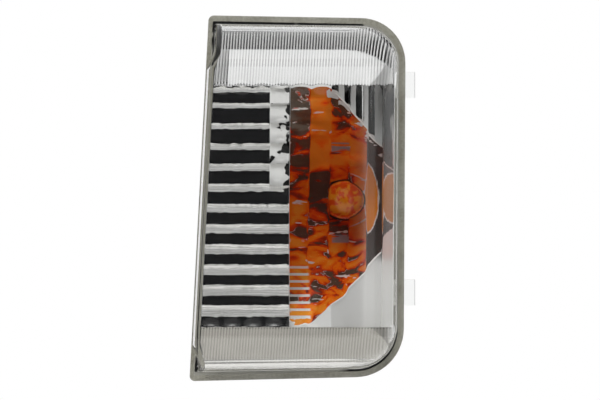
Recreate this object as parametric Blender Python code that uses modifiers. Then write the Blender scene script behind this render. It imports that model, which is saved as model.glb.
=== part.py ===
"""Door-mirror indicator lamp: fluted clear lens, metallised reflector and louvre, amber bulb in its holder.

The lens faces -Y. +X is right and +Z is up for someone who looks at the lamp. Every piece is placed from the
joint plane, where the lens flange lies on the housing flange, and the empty lamp_datum then brings the middle
of the lamp's box to the origin. All sizes are in metres.
"""
import math

import bmesh
import bpy
from mathutils import Vector

# Outline of the lens flange, seen from the front
HEIGHT = 0.150
OVERALL_WIDTH = 0.0925
TAB_REACH = 0.0038
LEFT_SLANT = 0.0079
TOP_FALL = 0.0014
BOTTOM_RISE = 0.0021
RIGHT_LEAN = 0.0009
TOP_LEFT_RADIUS = 0.0023
TOP_RIGHT_RADIUS = 0.0184
BOTTOM_RIGHT_RADIUS = 0.0200
BOTTOM_LEFT_RADIUS = 0.0021
SMALLEST_RADIUS = 0.0006
TAB_HEIGHT = 0.0108
UPPER_TAB_FROM_TOP = 0.0286
LOWER_TAB_FROM_FOOT = 0.0364
CORNER_STEPS = 6

# Gap left between pieces that touch
FIT = 0.0003

# Sides of round pieces
LARGE_ROUND = 40
MEDIUM_ROUND = 28
SMALL_ROUND = 18
DOME_STEPS = 7

# Lens
LENS_RISE = 0.0220
FLANGE_THICKNESS = 0.0024
LENS_WALL = 0.0020
RIM_WIDTH = 0.0028
LEFT_RIM_WIDTH = 0.0003
LEFT_RIM_START = 0.0075
LEFT_RIM_BLEND = 0.0060
WALL_DRAFT = 0.0010
TOP_END = 0.0298
BOTTOM_END = 0.0230
END_STEP_WIDTH = 0.0015
END_STEP_SHARE = 0.45
TOP_FACET = 0.0100
BOTTOM_FACET = 0.0045
FACET_SHARE = 0.82
BEND_SHARE = 0.66
FLAT_FLUTES = 6
BEND_FLUTES = 5
FACETS_PER_FLUTE = 3
FLUTE_SAG = 0.0005
RIBS_PER_FLUTE = 6
RIB_DEPTH = 0.00035
ZONE_STEP = 0.0004

# Sealant bead and housing
BEAD_THICKNESS = 0.0009
BEAD_SETBACK = 0.0004
BEAD_WIDTH = 0.0025
LEFT_BEAD_WIDTH = 0.0018
HOUSING_FLANGE = 0.0024
HOUSING_WALL = 0.0018
HOUSING_SEAT = 0.0026
LEFT_HOUSING_SEAT = 0.0004
HOUSING_DEPTH = 0.0272
HOUSING_DRAFT = 0.0035
BACK_WALL = 0.0022

# Reflector: plain faces, and a bowl that is a paraboloid with its focus at the filament
REFLECTOR_GAP = 0.0015
REFLECTOR_WALL = 0.0020
FIELD_FRONT = -0.0140
TOP_RAMP_SLOPE = 0.66
BOTTOM_RAMP_SLOPE = 0.94
SIDE_FIELD_AT_BULB = -0.0093
SIDE_FIELD_SLOPE = 0.85
BOWL_CLEARANCE = 0.0030
FOCAL_LENGTH = 0.0140
BOWL_LEFT_REACH = 0.0225
BOWL_STEPS = 9
BULB_HOLE_RADIUS = 0.0092
BOSS_RADIUS = 0.0035
UPPER_BOSS_FROM_TOP = 0.0200
UPPER_BOSS_FROM_LEFT = 0.0222
UPPER_BOSS_FROM_RIGHT = 0.0205
LOWER_BOSS_FROM_FOOT = 0.0180
LOWER_BOSS_FROM_LEFT = 0.0182
LOWER_BOSS_FROM_RIGHT = 0.0220

# Louvre bezel
SLATS = 12
FIRST_SLAT_SHARE = 0.74
SLAT_FRONT = -0.0176
BEZEL_LEFT_GAP = 0.0014
TOP_FACE_SHARE = 0.22
BOTTOM_FACE_SHARE = 0.58
SLAT_SLOPE = 0.5
BEZEL_RIM = 0.0006

# Bulb, seen end-on from the front
BULB_FROM_RIGHT = 0.02495
BULB_DROP = 0.0007
BULB_LENGTH = 0.0367
BULB_RADIUS = 0.0079
GLASS_WALL = 0.0007
NECK_RADIUS = 0.0052
NECK_LENGTH = 0.0030
SHOULDER_LENGTH = 0.0050
WEDGE_LENGTH = 0.0100
WEDGE_WIDTH = 0.0102
WEDGE_THICKNESS = 0.0046
LEAD_SPACING = 0.0030
LEAD_RADIUS = 0.00035
LEAD_LENGTH = 0.0165
FILAMENT_RADIUS = 0.0008
FILAMENT_WIRE = 0.00014
FILAMENT_TURNS = 8
POINTS_PER_TURN = 8
SUPPORT_BEAD_HEIGHT = 0.0085
SUPPORT_BEAD_RADIUS = 0.0011

# Bulb holder and its port in the housing
NOSE_RADIUS = 0.0102
NOSE_LENGTH = 0.0053
PORT_CLEARANCE = 0.0004
LUG_RADIUS = 0.0128
LUG_THICKNESS = 0.0020
LUG_WIDTH = 0.0046
LUG_COUNT = 3
RELEASE_ANGLE = math.radians(45)
COLLAR_RADIUS = 0.0160
COLLAR_HEIGHT = 0.0010
SEAL_THICKNESS = 0.0012
SEAL_INNER_RADIUS = 0.0135
SEAL_OUTER_RADIUS = 0.0158
HOLDER_FLANGE_RADIUS = 0.0165
HOLDER_FLANGE = 0.0022
SOCKET_REACH = 0.0068
SHROUD_WIDTH = 0.0200
SHROUD_HEIGHT = 0.0130
SHROUD_WALL = 0.0015
SHROUD_REACH = 0.0198
SHROUD_BASE = 0.0020
GRIP_WIDTH = 0.0290
GRIP_THICKNESS = 0.0026
GRIP_REACH = 0.0108
CONTACT_WIDTH = 0.0040
CONTACT_THICKNESS = 0.0008
CONTACT_ENTRY = 0.0010
CONTACT_RECESS = 0.0025
CONTACT_BOW = 0.0007

# Screws, fixing bosses and vent
SCREW_RADIUS = 0.0013
SCREW_LENGTH = 0.0110
SCREW_HEAD_RADIUS = 0.0031
SCREW_HEAD_HEIGHT = 0.0020
SCREW_CROWN_RADIUS = 0.0022
RECESS_LENGTH = 0.0031
RECESS_WIDTH = 0.0008
RECESS_DEPTH = 0.0012
PILOT_DEPTH = 0.0140
UPPER_FIXING_FROM_LEFT = 0.0252
LOWER_FIXING_FROM_LEFT = 0.0232
UPPER_FIXING_SHARE = 0.1333
LOWER_FIXING_SHARE = -0.1600
FIXING_RADIUS = 0.0042
FIXING_HEIGHT = 0.0088
FIXING_PILOT_RADIUS = 0.0017
FIXING_PILOT_DEPTH = 0.0070
VENT_FROM_TOP = 0.0330
VENT_FROM_BULB = 0.0215
VENT_RADIUS = 0.0032
VENT_BORE_RADIUS = 0.0012
VENT_HEIGHT = 0.0048
VENT_CAP_WALL = 0.0014
RIB_THICKNESS = 0.0014
RIB_HEIGHT = 0.0022
RIB_COUNT = 3
RIB_SPACING_SHARE = 0.0720
RIB_FROM_LEFT = 0.0132
RIB_FROM_BULB = 0.0195

# Places that follow from the sizes above
HALF_HEIGHT = HEIGHT / 2
LEFT_FOOT = -OVERALL_WIDTH / 2
RIGHT_EDGE = OVERALL_WIDTH / 2 - TAB_REACH
INNER_FOOT = RIM_WIDTH + LENS_WALL
LEFT_INNER_FOOT = LEFT_RIM_WIDTH + LENS_WALL
HOUSING_FRONT = FIT + BEAD_THICKNESS + FIT
HOUSING_REAR_SEAT = HOUSING_FRONT + HOUSING_FLANGE
FLOOR_FRONT = HOUSING_DEPTH - BACK_WALL
WINDOW_TOP = HALF_HEIGHT - TOP_END
WINDOW_BOTTOM = -HALF_HEIGHT + BOTTOM_END
SLAT_PITCH = (WINDOW_TOP - WINDOW_BOTTOM) / (SLATS - 1 + FIRST_SLAT_SHARE)
BULB_AXIS = (RIGHT_EDGE - BULB_FROM_RIGHT, -BULB_DROP)
BOWL_FLOOR = FLOOR_FRONT - BOWL_CLEARANCE - REFLECTOR_WALL
BOWL_LEFT = BULB_AXIS[0] - BOWL_LEFT_REACH
UPPER_BOSS_Z = HALF_HEIGHT - UPPER_BOSS_FROM_TOP
LOWER_BOSS_Z = -HALF_HEIGHT + LOWER_BOSS_FROM_FOOT
BOSS_PLACES = (
    (LEFT_FOOT + UPPER_BOSS_FROM_LEFT, UPPER_BOSS_Z), (RIGHT_EDGE - UPPER_BOSS_FROM_RIGHT, UPPER_BOSS_Z),
    (LEFT_FOOT + LOWER_BOSS_FROM_LEFT, LOWER_BOSS_Z), (RIGHT_EDGE - LOWER_BOSS_FROM_RIGHT, LOWER_BOSS_Z))
FIXING_PLACES = (
    (LEFT_FOOT + UPPER_FIXING_FROM_LEFT, HEIGHT * UPPER_FIXING_SHARE),
    (LEFT_FOOT + LOWER_FIXING_FROM_LEFT, HEIGHT * LOWER_FIXING_SHARE))
FIXING_END = HOUSING_DEPTH + FIXING_HEIGHT
VENT_PLACE = (BULB_AXIS[0] - VENT_FROM_BULB, HALF_HEIGHT - VENT_FROM_TOP)
VENT_END = HOUSING_DEPTH + VENT_HEIGHT
REFLECTOR_INSET = HOUSING_SEAT + HOUSING_WALL + REFLECTOR_GAP
LEFT_REFLECTOR_INSET = LEFT_HOUSING_SEAT + HOUSING_WALL + REFLECTOR_GAP
COLLAR_END = HOUSING_DEPTH + COLLAR_HEIGHT
SEAL_START = COLLAR_END + FIT
HOLDER_FLANGE_START = SEAL_START + SEAL_THICKNESS + FIT
HOLDER_FLANGE_END = HOLDER_FLANGE_START + HOLDER_FLANGE
LUG_END = FLOOR_FRONT - PORT_CLEARANCE
PORT_RADIUS = NOSE_RADIUS + PORT_CLEARANCE
NOSE_START = HOUSING_DEPTH - NOSE_LENGTH
SOCKET_FLOOR = HOUSING_DEPTH + SOCKET_REACH
SHROUD_FLOOR = SOCKET_FLOOR + SHROUD_BASE
SHROUD_END = HOUSING_DEPTH + SHROUD_REACH
GRIP_END = HOUSING_DEPTH + GRIP_REACH
CONTACT_START = HOUSING_DEPTH - CONTACT_ENTRY
CONTACT_END = SHROUD_END - CONTACT_RECESS
WEDGE_END = SOCKET_FLOOR - FIT
WEDGE_START = WEDGE_END - WEDGE_LENGTH
NECK_END = WEDGE_START + NECK_LENGTH / 2
SHOULDER_END = WEDGE_START - NECK_LENGTH / 2
SHOULDER_START = SHOULDER_END - SHOULDER_LENGTH
BULB_TIP = WEDGE_END - BULB_LENGTH
FILAMENT_Y = WEDGE_START - LEAD_LENGTH
SUPPORT_BEAD_Y = WEDGE_START - SUPPORT_BEAD_HEIGHT
DATUM_Y = -(SHROUD_END - LENS_RISE) / 2


# Scene, collections and materials
for old in list(bpy.data.objects):
    bpy.data.objects.remove(old, do_unlink=True)


def new_collection(name):
    collection = bpy.data.collections.new(name)
    bpy.context.scene.collection.children.link(collection)
    return collection


LAMP = new_collection("indicator_lamp")
CUTTERS = new_collection("indicator_lamp_cutters")
datum = bpy.data.objects.new("lamp_datum", None)
datum.location = (0, DATUM_Y, 0)
LAMP.objects.link(datum)


def new_material(name, colour, roughness, metallic=0.0, transmission=0.0):
    material = bpy.data.materials.new(name)
    material.use_nodes = True
    shader = material.node_tree.nodes["Principled BSDF"]
    shader.inputs["Base Color"].default_value = (*colour, 1)
    shader.inputs["Roughness"].default_value = roughness
    shader.inputs["Metallic"].default_value = metallic
    shader.inputs["Transmission Weight"].default_value = transmission
    return material


CLEAR_LENS = new_material("clear_lens", (0.95, 0.96, 0.96), 0.04, transmission=0.9)
OLIVE_SEALANT = new_material("olive_sealant", (0.22, 0.22, 0.18), 0.6)
GREY_HOUSING = new_material("grey_housing", (0.16, 0.16, 0.15), 0.5)
BRIGHT_METALLISING = new_material("bright_metallising", (0.90, 0.90, 0.90), 0.08, metallic=1.0)
AMBER_GLASS = new_material("amber_glass", (0.85, 0.28, 0.04), 0.05, transmission=0.8)
CLEAR_GLASS = new_material("clear_glass", (0.90, 0.92, 0.90), 0.05, transmission=0.9)
LEAD_WIRE = new_material("lead_wire", (0.55, 0.53, 0.50), 0.3, metallic=1.0)
TUNGSTEN = new_material("tungsten", (0.30, 0.29, 0.28), 0.4, metallic=1.0)
BLACK_PLASTIC = new_material("black_plastic", (0.03, 0.03, 0.03), 0.45)
TINNED_BRASS = new_material("tinned_brass", (0.72, 0.70, 0.64), 0.25, metallic=1.0)
BLACK_RUBBER = new_material("black_rubber", (0.02, 0.02, 0.02), 0.8)
ZINC_STEEL = new_material("zinc_steel", (0.65, 0.66, 0.68), 0.3, metallic=1.0)


# Modelling tools shared by the pieces
def place(obj, material=None):
    """Put an object in the lamp, or among the cutters where it has no material."""
    (LAMP if material else CUTTERS).objects.link(obj)
    obj.parent = datum
    if material:
        obj.data.materials.clear()
        obj.data.materials.append(material)
        obj.data.shade_smooth()
        obj.data.set_sharp_from_angle(angle=math.radians(30))
    else:
        obj.hide_render = True
        obj.display_type = "WIRE"
    return obj


def object_from(name, bm):
    mesh = bpy.data.meshes.new(name)
    bmesh.ops.recalc_face_normals(bm, faces=bm.faces)
    bm.to_mesh(mesh)
    bm.free()
    return bpy.data.objects.new(name, mesh)


def meshed(source):
    """A closed mesh object from a curve or from an object with modifiers, which it replaces."""
    bpy.context.scene.collection.objects.link(source)
    depsgraph = bpy.context.evaluated_depsgraph_get()
    mesh = bpy.data.meshes.new_from_object(source.evaluated_get(depsgraph))
    bm = bmesh.new()
    bm.from_mesh(mesh)
    bmesh.ops.remove_doubles(bm, verts=bm.verts, dist=0.00001)
    bmesh.ops.recalc_face_normals(bm, faces=bm.faces)
    bm.to_mesh(mesh)
    bm.free()
    result = bpy.data.objects.new(source.name + "_mesh", mesh)
    result.matrix_world = source.matrix_world
    name = source.name
    bpy.data.objects.remove(source, do_unlink=True)
    result.name = name
    return result


def plate(name, loops, front, back):
    """A flat plate between two depths, from closed outlines of (x, z) points; inner outlines are holes."""
    curve = bpy.data.curves.new(name, "CURVE")
    curve.dimensions = "2D"
    curve.fill_mode = "BOTH"
    curve.extrude = (back - front) / 2
    for loop in loops:
        spline = curve.splines.new("POLY")
        spline.points.add(len(loop) - 1)
        spline.use_cyclic_u = True
        for point, (x, z) in zip(spline.points, loop):
            point.co = (x, z, 0, 1)
    obj = bpy.data.objects.new(name, curve)
    obj.rotation_euler = (math.pi / 2, 0, 0)
    obj.location = (0, (front + back) / 2, 0)
    bpy.context.view_layer.update()
    return meshed(obj)


def cylinder(name, centre, radius, front, back, sides=MEDIUM_ROUND):
    bm = bmesh.new()
    bmesh.ops.create_cone(
        bm, cap_ends=True, segments=sides, radius1=radius, radius2=radius, depth=back - front)
    obj = object_from(name, bm)
    obj.rotation_euler = (math.pi / 2, 0, 0)
    obj.location = (centre[0], (front + back) / 2, centre[1])
    return obj


def box(name, low, high):
    bm = bmesh.new()
    bmesh.ops.create_cube(bm, size=1)
    size = Vector(high) - Vector(low)
    bmesh.ops.scale(bm, vec=size, verts=bm.verts)
    obj = object_from(name, bm)
    obj.location = (Vector(low) + Vector(high)) / 2
    return obj


def prism(name, first, second):
    """A solid between two like outlines of (x, y, z) points."""
    bm = bmesh.new()
    ends = [[bm.verts.new(point) for point in end] for end in (first, second)]
    for i in range(len(first)):
        bm.faces.new((ends[0][i - 1], ends[0][i], ends[1][i], ends[1][i - 1]))
    for end in ends:
        bm.faces.new(end)
    return object_from(name, bm)


def turned(name, centre, profile, steps=MEDIUM_ROUND):
    """A turned piece on an axis along Y, from (radius, depth) points that end on the axis or close a ring."""
    mesh = bpy.data.meshes.new(name)
    points = [(radius, 0, depth) for radius, depth in profile]
    edges = [(i, i + 1) for i in range(len(points) - 1)]
    if profile[0][0] > 0:
        edges.append((len(points) - 1, 0))
    mesh.from_pydata(points, edges, [])
    obj = bpy.data.objects.new(name, mesh)
    screw = obj.modifiers.new("turn", "SCREW")
    screw.steps = steps
    screw.render_steps = steps
    screw.use_merge_vertices = True
    screw.merge_threshold = 0.00001
    obj.rotation_euler = (-math.pi / 2, 0, 0)
    obj.location = (centre[0], 0, centre[1])
    bpy.context.view_layer.update()
    return meshed(obj)


def combine(obj, other, operation):
    place(other)
    modifier = obj.modifiers.new(other.name, "BOOLEAN")
    modifier.operation = operation
    modifier.object = other


def cut(obj, other):
    combine(obj, other, "DIFFERENCE")


def join(obj, other):
    combine(obj, other, "UNION")


def keep_inside(obj, other):
    combine(obj, other, "INTERSECT")


# The lamp's outline, which most pieces follow
def left_line(z):
    return LEFT_FOOT + LEFT_SLANT * (z + HALF_HEIGHT) / HEIGHT


def right_line(z):
    return RIGHT_EDGE - RIGHT_LEAN * (HALF_HEIGHT - z) / HEIGHT


def rounded_corner(before, corner, after, radius):
    """Points of a corner's arc, from the side of before to the side of after."""
    to_before = (before - corner).normalized()
    to_after = (after - corner).normalized()
    half = to_before.angle(to_after) / 2
    centre = corner + (to_before + to_after).normalized() * radius / math.sin(half)
    start = corner + to_before * radius / math.tan(half) - centre
    end = corner + to_after * radius / math.tan(half) - centre
    start, end = start.normalized(), end.normalized()
    return [centre + start.slerp(end, i / CORNER_STEPS) * radius for i in range(CORNER_STEPS + 1)]


def outline(inset=0.0, left_inset=None):
    """(x, z) points of the lamp's outline moved in by inset, clockwise from the top left corner."""
    left_inset = inset if left_inset is None else left_inset
    top_right_z = HALF_HEIGHT - TOP_FALL - inset
    bottom_right_z = -HALF_HEIGHT + BOTTOM_RISE + inset
    corners = [
        Vector((left_line(HALF_HEIGHT) + left_inset, HALF_HEIGHT - inset)),
        Vector((right_line(top_right_z) - inset, top_right_z)),
        Vector((right_line(bottom_right_z) - inset, bottom_right_z)),
        Vector((left_line(-HALF_HEIGHT) + left_inset, -HALF_HEIGHT + inset)),
    ]
    radii = (TOP_LEFT_RADIUS, TOP_RIGHT_RADIUS, BOTTOM_RIGHT_RADIUS, BOTTOM_LEFT_RADIUS)
    points = []
    for i, radius in enumerate(radii):
        arc_radius = max(radius - inset, SMALLEST_RADIUS)
        arc = rounded_corner(corners[i - 1], corners[i], corners[(i + 1) % 4], arc_radius)
        points += [tuple(point) for point in arc]
    return points


# Outer lens: flange with two tabs, raised crown, flutes behind the window and fine ribs behind both ends
def interpolate(steps, value):
    """Value on a chain of (place, height) steps with straight stretches between them."""
    for (start, low), (end, high) in zip(steps, steps[1:]):
        if value <= end:
            return low + (high - low) * (value - start) / (end - start)
    return steps[-1][1]


def crown_right(z, inset):
    """Right edge of the crown at a height, with the two large corner arcs."""
    top = (1, TOP_RIGHT_RADIUS, HALF_HEIGHT - TOP_FALL)
    bottom = (-1, BOTTOM_RIGHT_RADIUS, HALF_HEIGHT - BOTTOM_RISE)
    for sign, radius, edge in (top, bottom):
        past = sign * z - (edge - radius)
        if past > 0:
            reach = math.sqrt(max((radius - inset) ** 2 - past ** 2, 0))
            return right_line(z) - radius + reach
    return right_line(z) - inset


def crown_left(z, inset, left_inset):
    """Left foot of the crown: nearly at the edge beside the window, and set in like the rest at both ends."""
    past = max(z - WINDOW_TOP, WINDOW_BOTTOM - z) - LEFT_RIM_START
    share = min(max(past / LEFT_RIM_BLEND, 0), 1)
    return left_line(z) + left_inset + (inset - left_inset) * share


def crown_outline(inset, left_inset):
    """(x, z) points of the crown's foot, clockwise, for the pieces that stand inside the crown."""
    rows = crown_rows(inset)
    left = [(crown_left(z, inset, left_inset), z) for z in rows]
    right = [(crown_right(z, inset), z) for z in rows]
    return left + right[::-1]


def crown_rows(inset):
    """Heights of the grid rows: fine along the corner arcs, and doubled where flutes change to ribs."""
    angles = [math.pi / 2 * i / CORNER_STEPS for i in range(CORNER_STEPS + 1)]
    top_centre = HALF_HEIGHT - TOP_FALL - TOP_RIGHT_RADIUS
    bottom_centre = -HALF_HEIGHT + BOTTOM_RISE + BOTTOM_RIGHT_RADIUS
    rows = [bottom_centre - (BOTTOM_RIGHT_RADIUS - inset) * math.sin(a) for a in reversed(angles)]
    rows += [WINDOW_BOTTOM - ZONE_STEP, WINDOW_BOTTOM, 0, WINDOW_TOP, WINDOW_TOP + ZONE_STEP]
    rows += [top_centre + (TOP_RIGHT_RADIUS - inset) * math.sin(a) for a in angles]
    return sorted(rows)


def end_share(z, inset):
    """How far the crown has risen at a height, from 0 at its foot to 1 over the window."""
    top_foot = HALF_HEIGHT - TOP_FALL - inset
    bottom_foot = -HALF_HEIGHT + BOTTOM_RISE + inset
    top = [(0, 0), (END_STEP_WIDTH, END_STEP_SHARE), (TOP_FACET, FACET_SHARE), (top_foot - WINDOW_TOP, 1)]
    bottom = [(0, 0), (END_STEP_WIDTH, END_STEP_SHARE), (BOTTOM_FACET, FACET_SHARE),
              (WINDOW_BOTTOM - bottom_foot, 1)]
    return min(interpolate(top, top_foot - z), interpolate(bottom, z - bottom_foot))


def crown_grid(bm, inset, left_inset, foot, rise, per_flute, relief):
    """Add one face of the crown as a grid of rows and columns, and return its foot, corner by corner."""
    rows = crown_rows(inset)
    flutes = FLAT_FLUTES + BEND_FLUTES
    columns = flutes * per_flute + 1
    grid = bmesh.ops.create_grid(bm, x_segments=columns, y_segments=len(rows) - 1, size=1)
    for index, vertex in enumerate(grid["verts"]):
        row, column = divmod(index, columns + 1)
        z = rows[row]
        start = crown_left(z, inset, left_inset)
        end = crown_right(z, inset)
        bend = start + (right_line(z) - inset - start) * BEND_SHARE
        across = (column - 1) / per_flute
        angle = max(across - FLAT_FLUTES, 0) / BEND_FLUTES * math.pi / 2
        if column == 0:
            x = start
        elif across <= FLAT_FLUTES:
            x = start + WALL_DRAFT + (bend - start - WALL_DRAFT) * across / FLAT_FLUTES
        else:
            x = bend + (end - bend) * math.sin(angle)
        on_foot = column in (0, columns) or row in (0, len(rows) - 1)
        risen = 0 if on_foot else end_share(z, inset) * math.cos(angle)
        depth = 0 if on_foot else relief(across, z)
        tilt = TOP_FALL if z > 0 else BOTTOM_RISE
        height = z * (1 + tilt / HALF_HEIGHT * (end - x) / OVERALL_WIDTH)
        y = -(foot + (rise - foot) * risen)
        vertex.co = (x - depth * math.sin(angle), y + depth * math.cos(angle), height)
    lines = [grid["verts"][i:i + columns + 1] for i in range(0, len(grid["verts"]), columns + 1)]
    top_and_right = lines[-1] + [line[-1] for line in lines[-2:0:-1]]
    return top_and_right + lines[0][::-1] + [line[0] for line in lines[1:-1]]


def inner_relief(across, z):
    """Depth of the optics on the inner face: one wide flute per pitch, or fine ribs beyond the window."""
    if WINDOW_BOTTOM <= z <= WINDOW_TOP:
        part = across % 1
        return FLUTE_SAG * 4 * part * (1 - part)
    return RIB_DEPTH * (round(across * RIBS_PER_FLUTE * 2) % 2)


def new_loop(bm, y):
    return [bm.verts.new((x, y, z)) for x, z in outline()]


def join_loops(bm, outer, inner):
    """Fill the ring between two loops that both run clockwise round the lamp's middle."""
    def turned_to_start(loop):
        directions = [-math.atan2(vertex.co.z, vertex.co.x) for vertex in loop]
        first = directions.index(min(directions))
        return loop[first:] + loop[:first + 1], sorted(directions) + [math.inf]

    outer, outer_directions = turned_to_start(outer)
    inner, inner_directions = turned_to_start(inner)
    i = j = 0
    while i < len(outer) - 1 or j < len(inner) - 1:
        on_outer = outer_directions[i + 1] <= inner_directions[j + 1] if i < len(outer) - 1 else False
        if j == len(inner) - 1 or on_outer:
            bm.faces.new((outer[i], outer[i + 1], inner[j]))
            i += 1
        else:
            bm.faces.new((outer[i], inner[j + 1], inner[j]))
            j += 1


def make_outer_lens():
    bm = bmesh.new()
    outer_foot = crown_grid(
        bm, RIM_WIDTH, LEFT_RIM_WIDTH, FLANGE_THICKNESS, LENS_RISE, FACETS_PER_FLUTE, lambda across, z: 0)
    inner_foot = crown_grid(
        bm, INNER_FOOT, LEFT_INNER_FOOT, 0, LENS_RISE - LENS_WALL, RIBS_PER_FLUTE * 2, inner_relief)
    front_edge = new_loop(bm, -FLANGE_THICKNESS)
    back_edge = new_loop(bm, 0)
    for i in range(len(front_edge)):
        bm.faces.new((front_edge[i - 1], front_edge[i], back_edge[i], back_edge[i - 1]))
    join_loops(bm, front_edge, outer_foot)
    join_loops(bm, back_edge, inner_foot)
    lens = object_from("outer_lens", bm)
    upper = HALF_HEIGHT - UPPER_TAB_FROM_TOP
    lower = -HALF_HEIGHT + LOWER_TAB_FROM_FOOT
    for name, middle in (("upper_tab", upper), ("lower_tab", lower)):
        low = (RIGHT_EDGE - RIM_WIDTH, -FLANGE_THICKNESS, middle - TAB_HEIGHT / 2)
        high = (RIGHT_EDGE + TAB_REACH, 0, middle + TAB_HEIGHT / 2)
        join(lens, box(name, low, high))
    place(lens, CLEAR_LENS)


# Sealant bead: olive-grey ring that bonds the lens flange to the housing flange and shows through the rim
def make_sealant_bead():
    outer = outline(BEAD_SETBACK)
    inner = outline(BEAD_SETBACK + BEAD_WIDTH, BEAD_SETBACK + LEFT_BEAD_WIDTH)
    place(plate("sealant_bead", [outer, inner], FIT, FIT + BEAD_THICKNESS), OLIVE_SEALANT)


# Housing: rear shell with bulb port, reflector screw holes, two fixing bosses, vent spigot and ribs
def loft(name, rings):
    """A closed skin through (inset, left inset, depth) rings of the outline, with both ends capped."""
    bm = bmesh.new()
    loops = []
    for inset, left_inset, y in rings:
        loops.append([bm.verts.new((x, y, z)) for x, z in outline(inset, left_inset)])
    for first, second in zip(loops, loops[1:]):
        for i in range(len(first)):
            bm.faces.new((first[i - 1], first[i], second[i], second[i - 1]))
    bm.faces.new(loops[0])
    bm.faces.new(loops[-1])
    return object_from(name, bm)


def notch_angles():
    """Directions of the port's notches, where the lugs stand once the holder is twisted free."""
    return [2 * math.pi * i / LUG_COUNT - RELEASE_ANGLE for i in range(LUG_COUNT)]


def radial_block(name, angle, inner, outer, width, front, back):
    """A block that lies along a radius from the bulb axis."""
    obj = box(name, (inner, front, -width / 2), (outer, back, width / 2))
    middle = (inner + outer) / 2
    obj.rotation_euler = (0, -angle, 0)
    obj.location = (
        BULB_AXIS[0] + middle * math.cos(angle), (front + back) / 2, BULB_AXIS[1] + middle * math.sin(angle))
    return obj


def make_housing():
    inner = HOUSING_SEAT + HOUSING_WALL
    left_inner = LEFT_HOUSING_SEAT + HOUSING_WALL
    housing = loft("housing", [
        (HOUSING_SEAT + HOUSING_DRAFT, LEFT_HOUSING_SEAT + HOUSING_DRAFT, HOUSING_DEPTH),
        (HOUSING_SEAT, LEFT_HOUSING_SEAT, HOUSING_REAR_SEAT),
        (0, 0, HOUSING_REAR_SEAT),
        (0, 0, HOUSING_FRONT),
        (inner, left_inner, HOUSING_FRONT),
        (inner + HOUSING_DRAFT, left_inner + HOUSING_DRAFT, FLOOR_FRONT),
    ])
    embed = BACK_WALL / 2
    collar = cylinder("collar", BULB_AXIS, COLLAR_RADIUS, HOUSING_DEPTH - embed, COLLAR_END, LARGE_ROUND)
    join(housing, collar)
    for i, centre in enumerate(FIXING_PLACES):
        join(housing, cylinder(f"fixing_{i}", centre, FIXING_RADIUS, HOUSING_DEPTH - embed, FIXING_END))
        pilot_end = FIXING_END - FIXING_PILOT_DEPTH
        pilot = cylinder(f"fixing_pilot_{i}", centre, FIXING_PILOT_RADIUS, pilot_end, FIXING_END + FIT)
        cut(housing, pilot)
    join(housing, cylinder("vent_spigot", VENT_PLACE, VENT_RADIUS, HOUSING_DEPTH - embed, VENT_END))
    vent_bore = cylinder(
        "vent_bore", VENT_PLACE, VENT_BORE_RADIUS, FLOOR_FRONT - embed, VENT_END + FIT, SMALL_ROUND)
    cut(housing, vent_bore)
    for i in range(RIB_COUNT):
        z = HEIGHT * RIB_SPACING_SHARE * (i - (RIB_COUNT - 1) / 2)
        low = (LEFT_FOOT + RIB_FROM_LEFT, HOUSING_DEPTH - embed, z - RIB_THICKNESS / 2)
        high = (BULB_AXIS[0] - RIB_FROM_BULB, HOUSING_DEPTH + RIB_HEIGHT, z + RIB_THICKNESS / 2)
        join(housing, box(f"back_rib_{i}", low, high))
    port = cylinder("port", BULB_AXIS, PORT_RADIUS, FLOOR_FRONT - embed, COLLAR_END + embed, LARGE_ROUND)
    cut(housing, port)
    for i, angle in enumerate(notch_angles()):
        notch = radial_block(
            f"port_notch_{i}", angle, NOSE_RADIUS / 2, LUG_RADIUS + FIT, LUG_WIDTH + 2 * FIT,
            FLOOR_FRONT - embed, COLLAR_END + embed)
        cut(housing, notch)
    for i, centre in enumerate(BOSS_PLACES):
        hole = cylinder(
            f"screw_hole_{i}", centre, SCREW_RADIUS + 2 * FIT, FLOOR_FRONT - embed, HOUSING_DEPTH + embed,
            SMALL_ROUND)
        cut(housing, hole)
    place(housing, GREY_HOUSING)


# Reflector: metallised shell with end ramps, a slanting field on the right and a bowl round the bulb
def front_section(shift):
    """(depth, z) points round the space in front of the end ramps and the plain face between them."""
    top = FIELD_FRONT + TOP_RAMP_SLOPE * (HALF_HEIGHT - WINDOW_TOP)
    bottom = FIELD_FRONT + BOTTOM_RAMP_SLOPE * (WINDOW_BOTTOM + HALF_HEIGHT)
    points = [
        (-LENS_RISE, HALF_HEIGHT), (top, HALF_HEIGHT),
        (FIELD_FRONT, WINDOW_TOP), (FIELD_FRONT, WINDOW_BOTTOM),
        (bottom, -HALF_HEIGHT), (-LENS_RISE, -HALF_HEIGHT)]
    return [(y + shift, z) for y, z in points]


def side_field(x):
    """Depth of the slanting field, which falls away to the right as the lens does."""
    return SIDE_FIELD_AT_BULB + SIDE_FIELD_SLOPE * (x - BULB_AXIS[0])


def surface_depth(x, z):
    """Depth of the reflector's face beside the bowl."""
    top = FIELD_FRONT + TOP_RAMP_SLOPE * (z - WINDOW_TOP)
    bottom = FIELD_FRONT + BOTTOM_RAMP_SLOPE * (WINDOW_BOTTOM - z)
    return max(FIELD_FRONT, top, bottom, side_field(x))


def bowl_space(shift):
    """The space in the bowl: a turned paraboloid, cut off flat beside the louvre."""
    depth = BOWL_FLOOR + LENS_RISE
    profile = []
    for i in range(BOWL_STEPS + 1):
        radius = math.sqrt(4 * FOCAL_LENGTH * depth) * (1 - i / BOWL_STEPS)
        profile.append((radius, BOWL_FLOOR + shift - radius ** 2 / (4 * FOCAL_LENGTH)))
    bowl = turned("bowl", BULB_AXIS, [(0, -LENS_RISE + shift)] + profile)
    low = (BOWL_LEFT - shift, -2 * LENS_RISE, -HEIGHT)
    keep_inside(bowl, box("bowl_side", low, (OVERALL_WIDTH, HOUSING_DEPTH, HEIGHT)))
    return bowl


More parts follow.
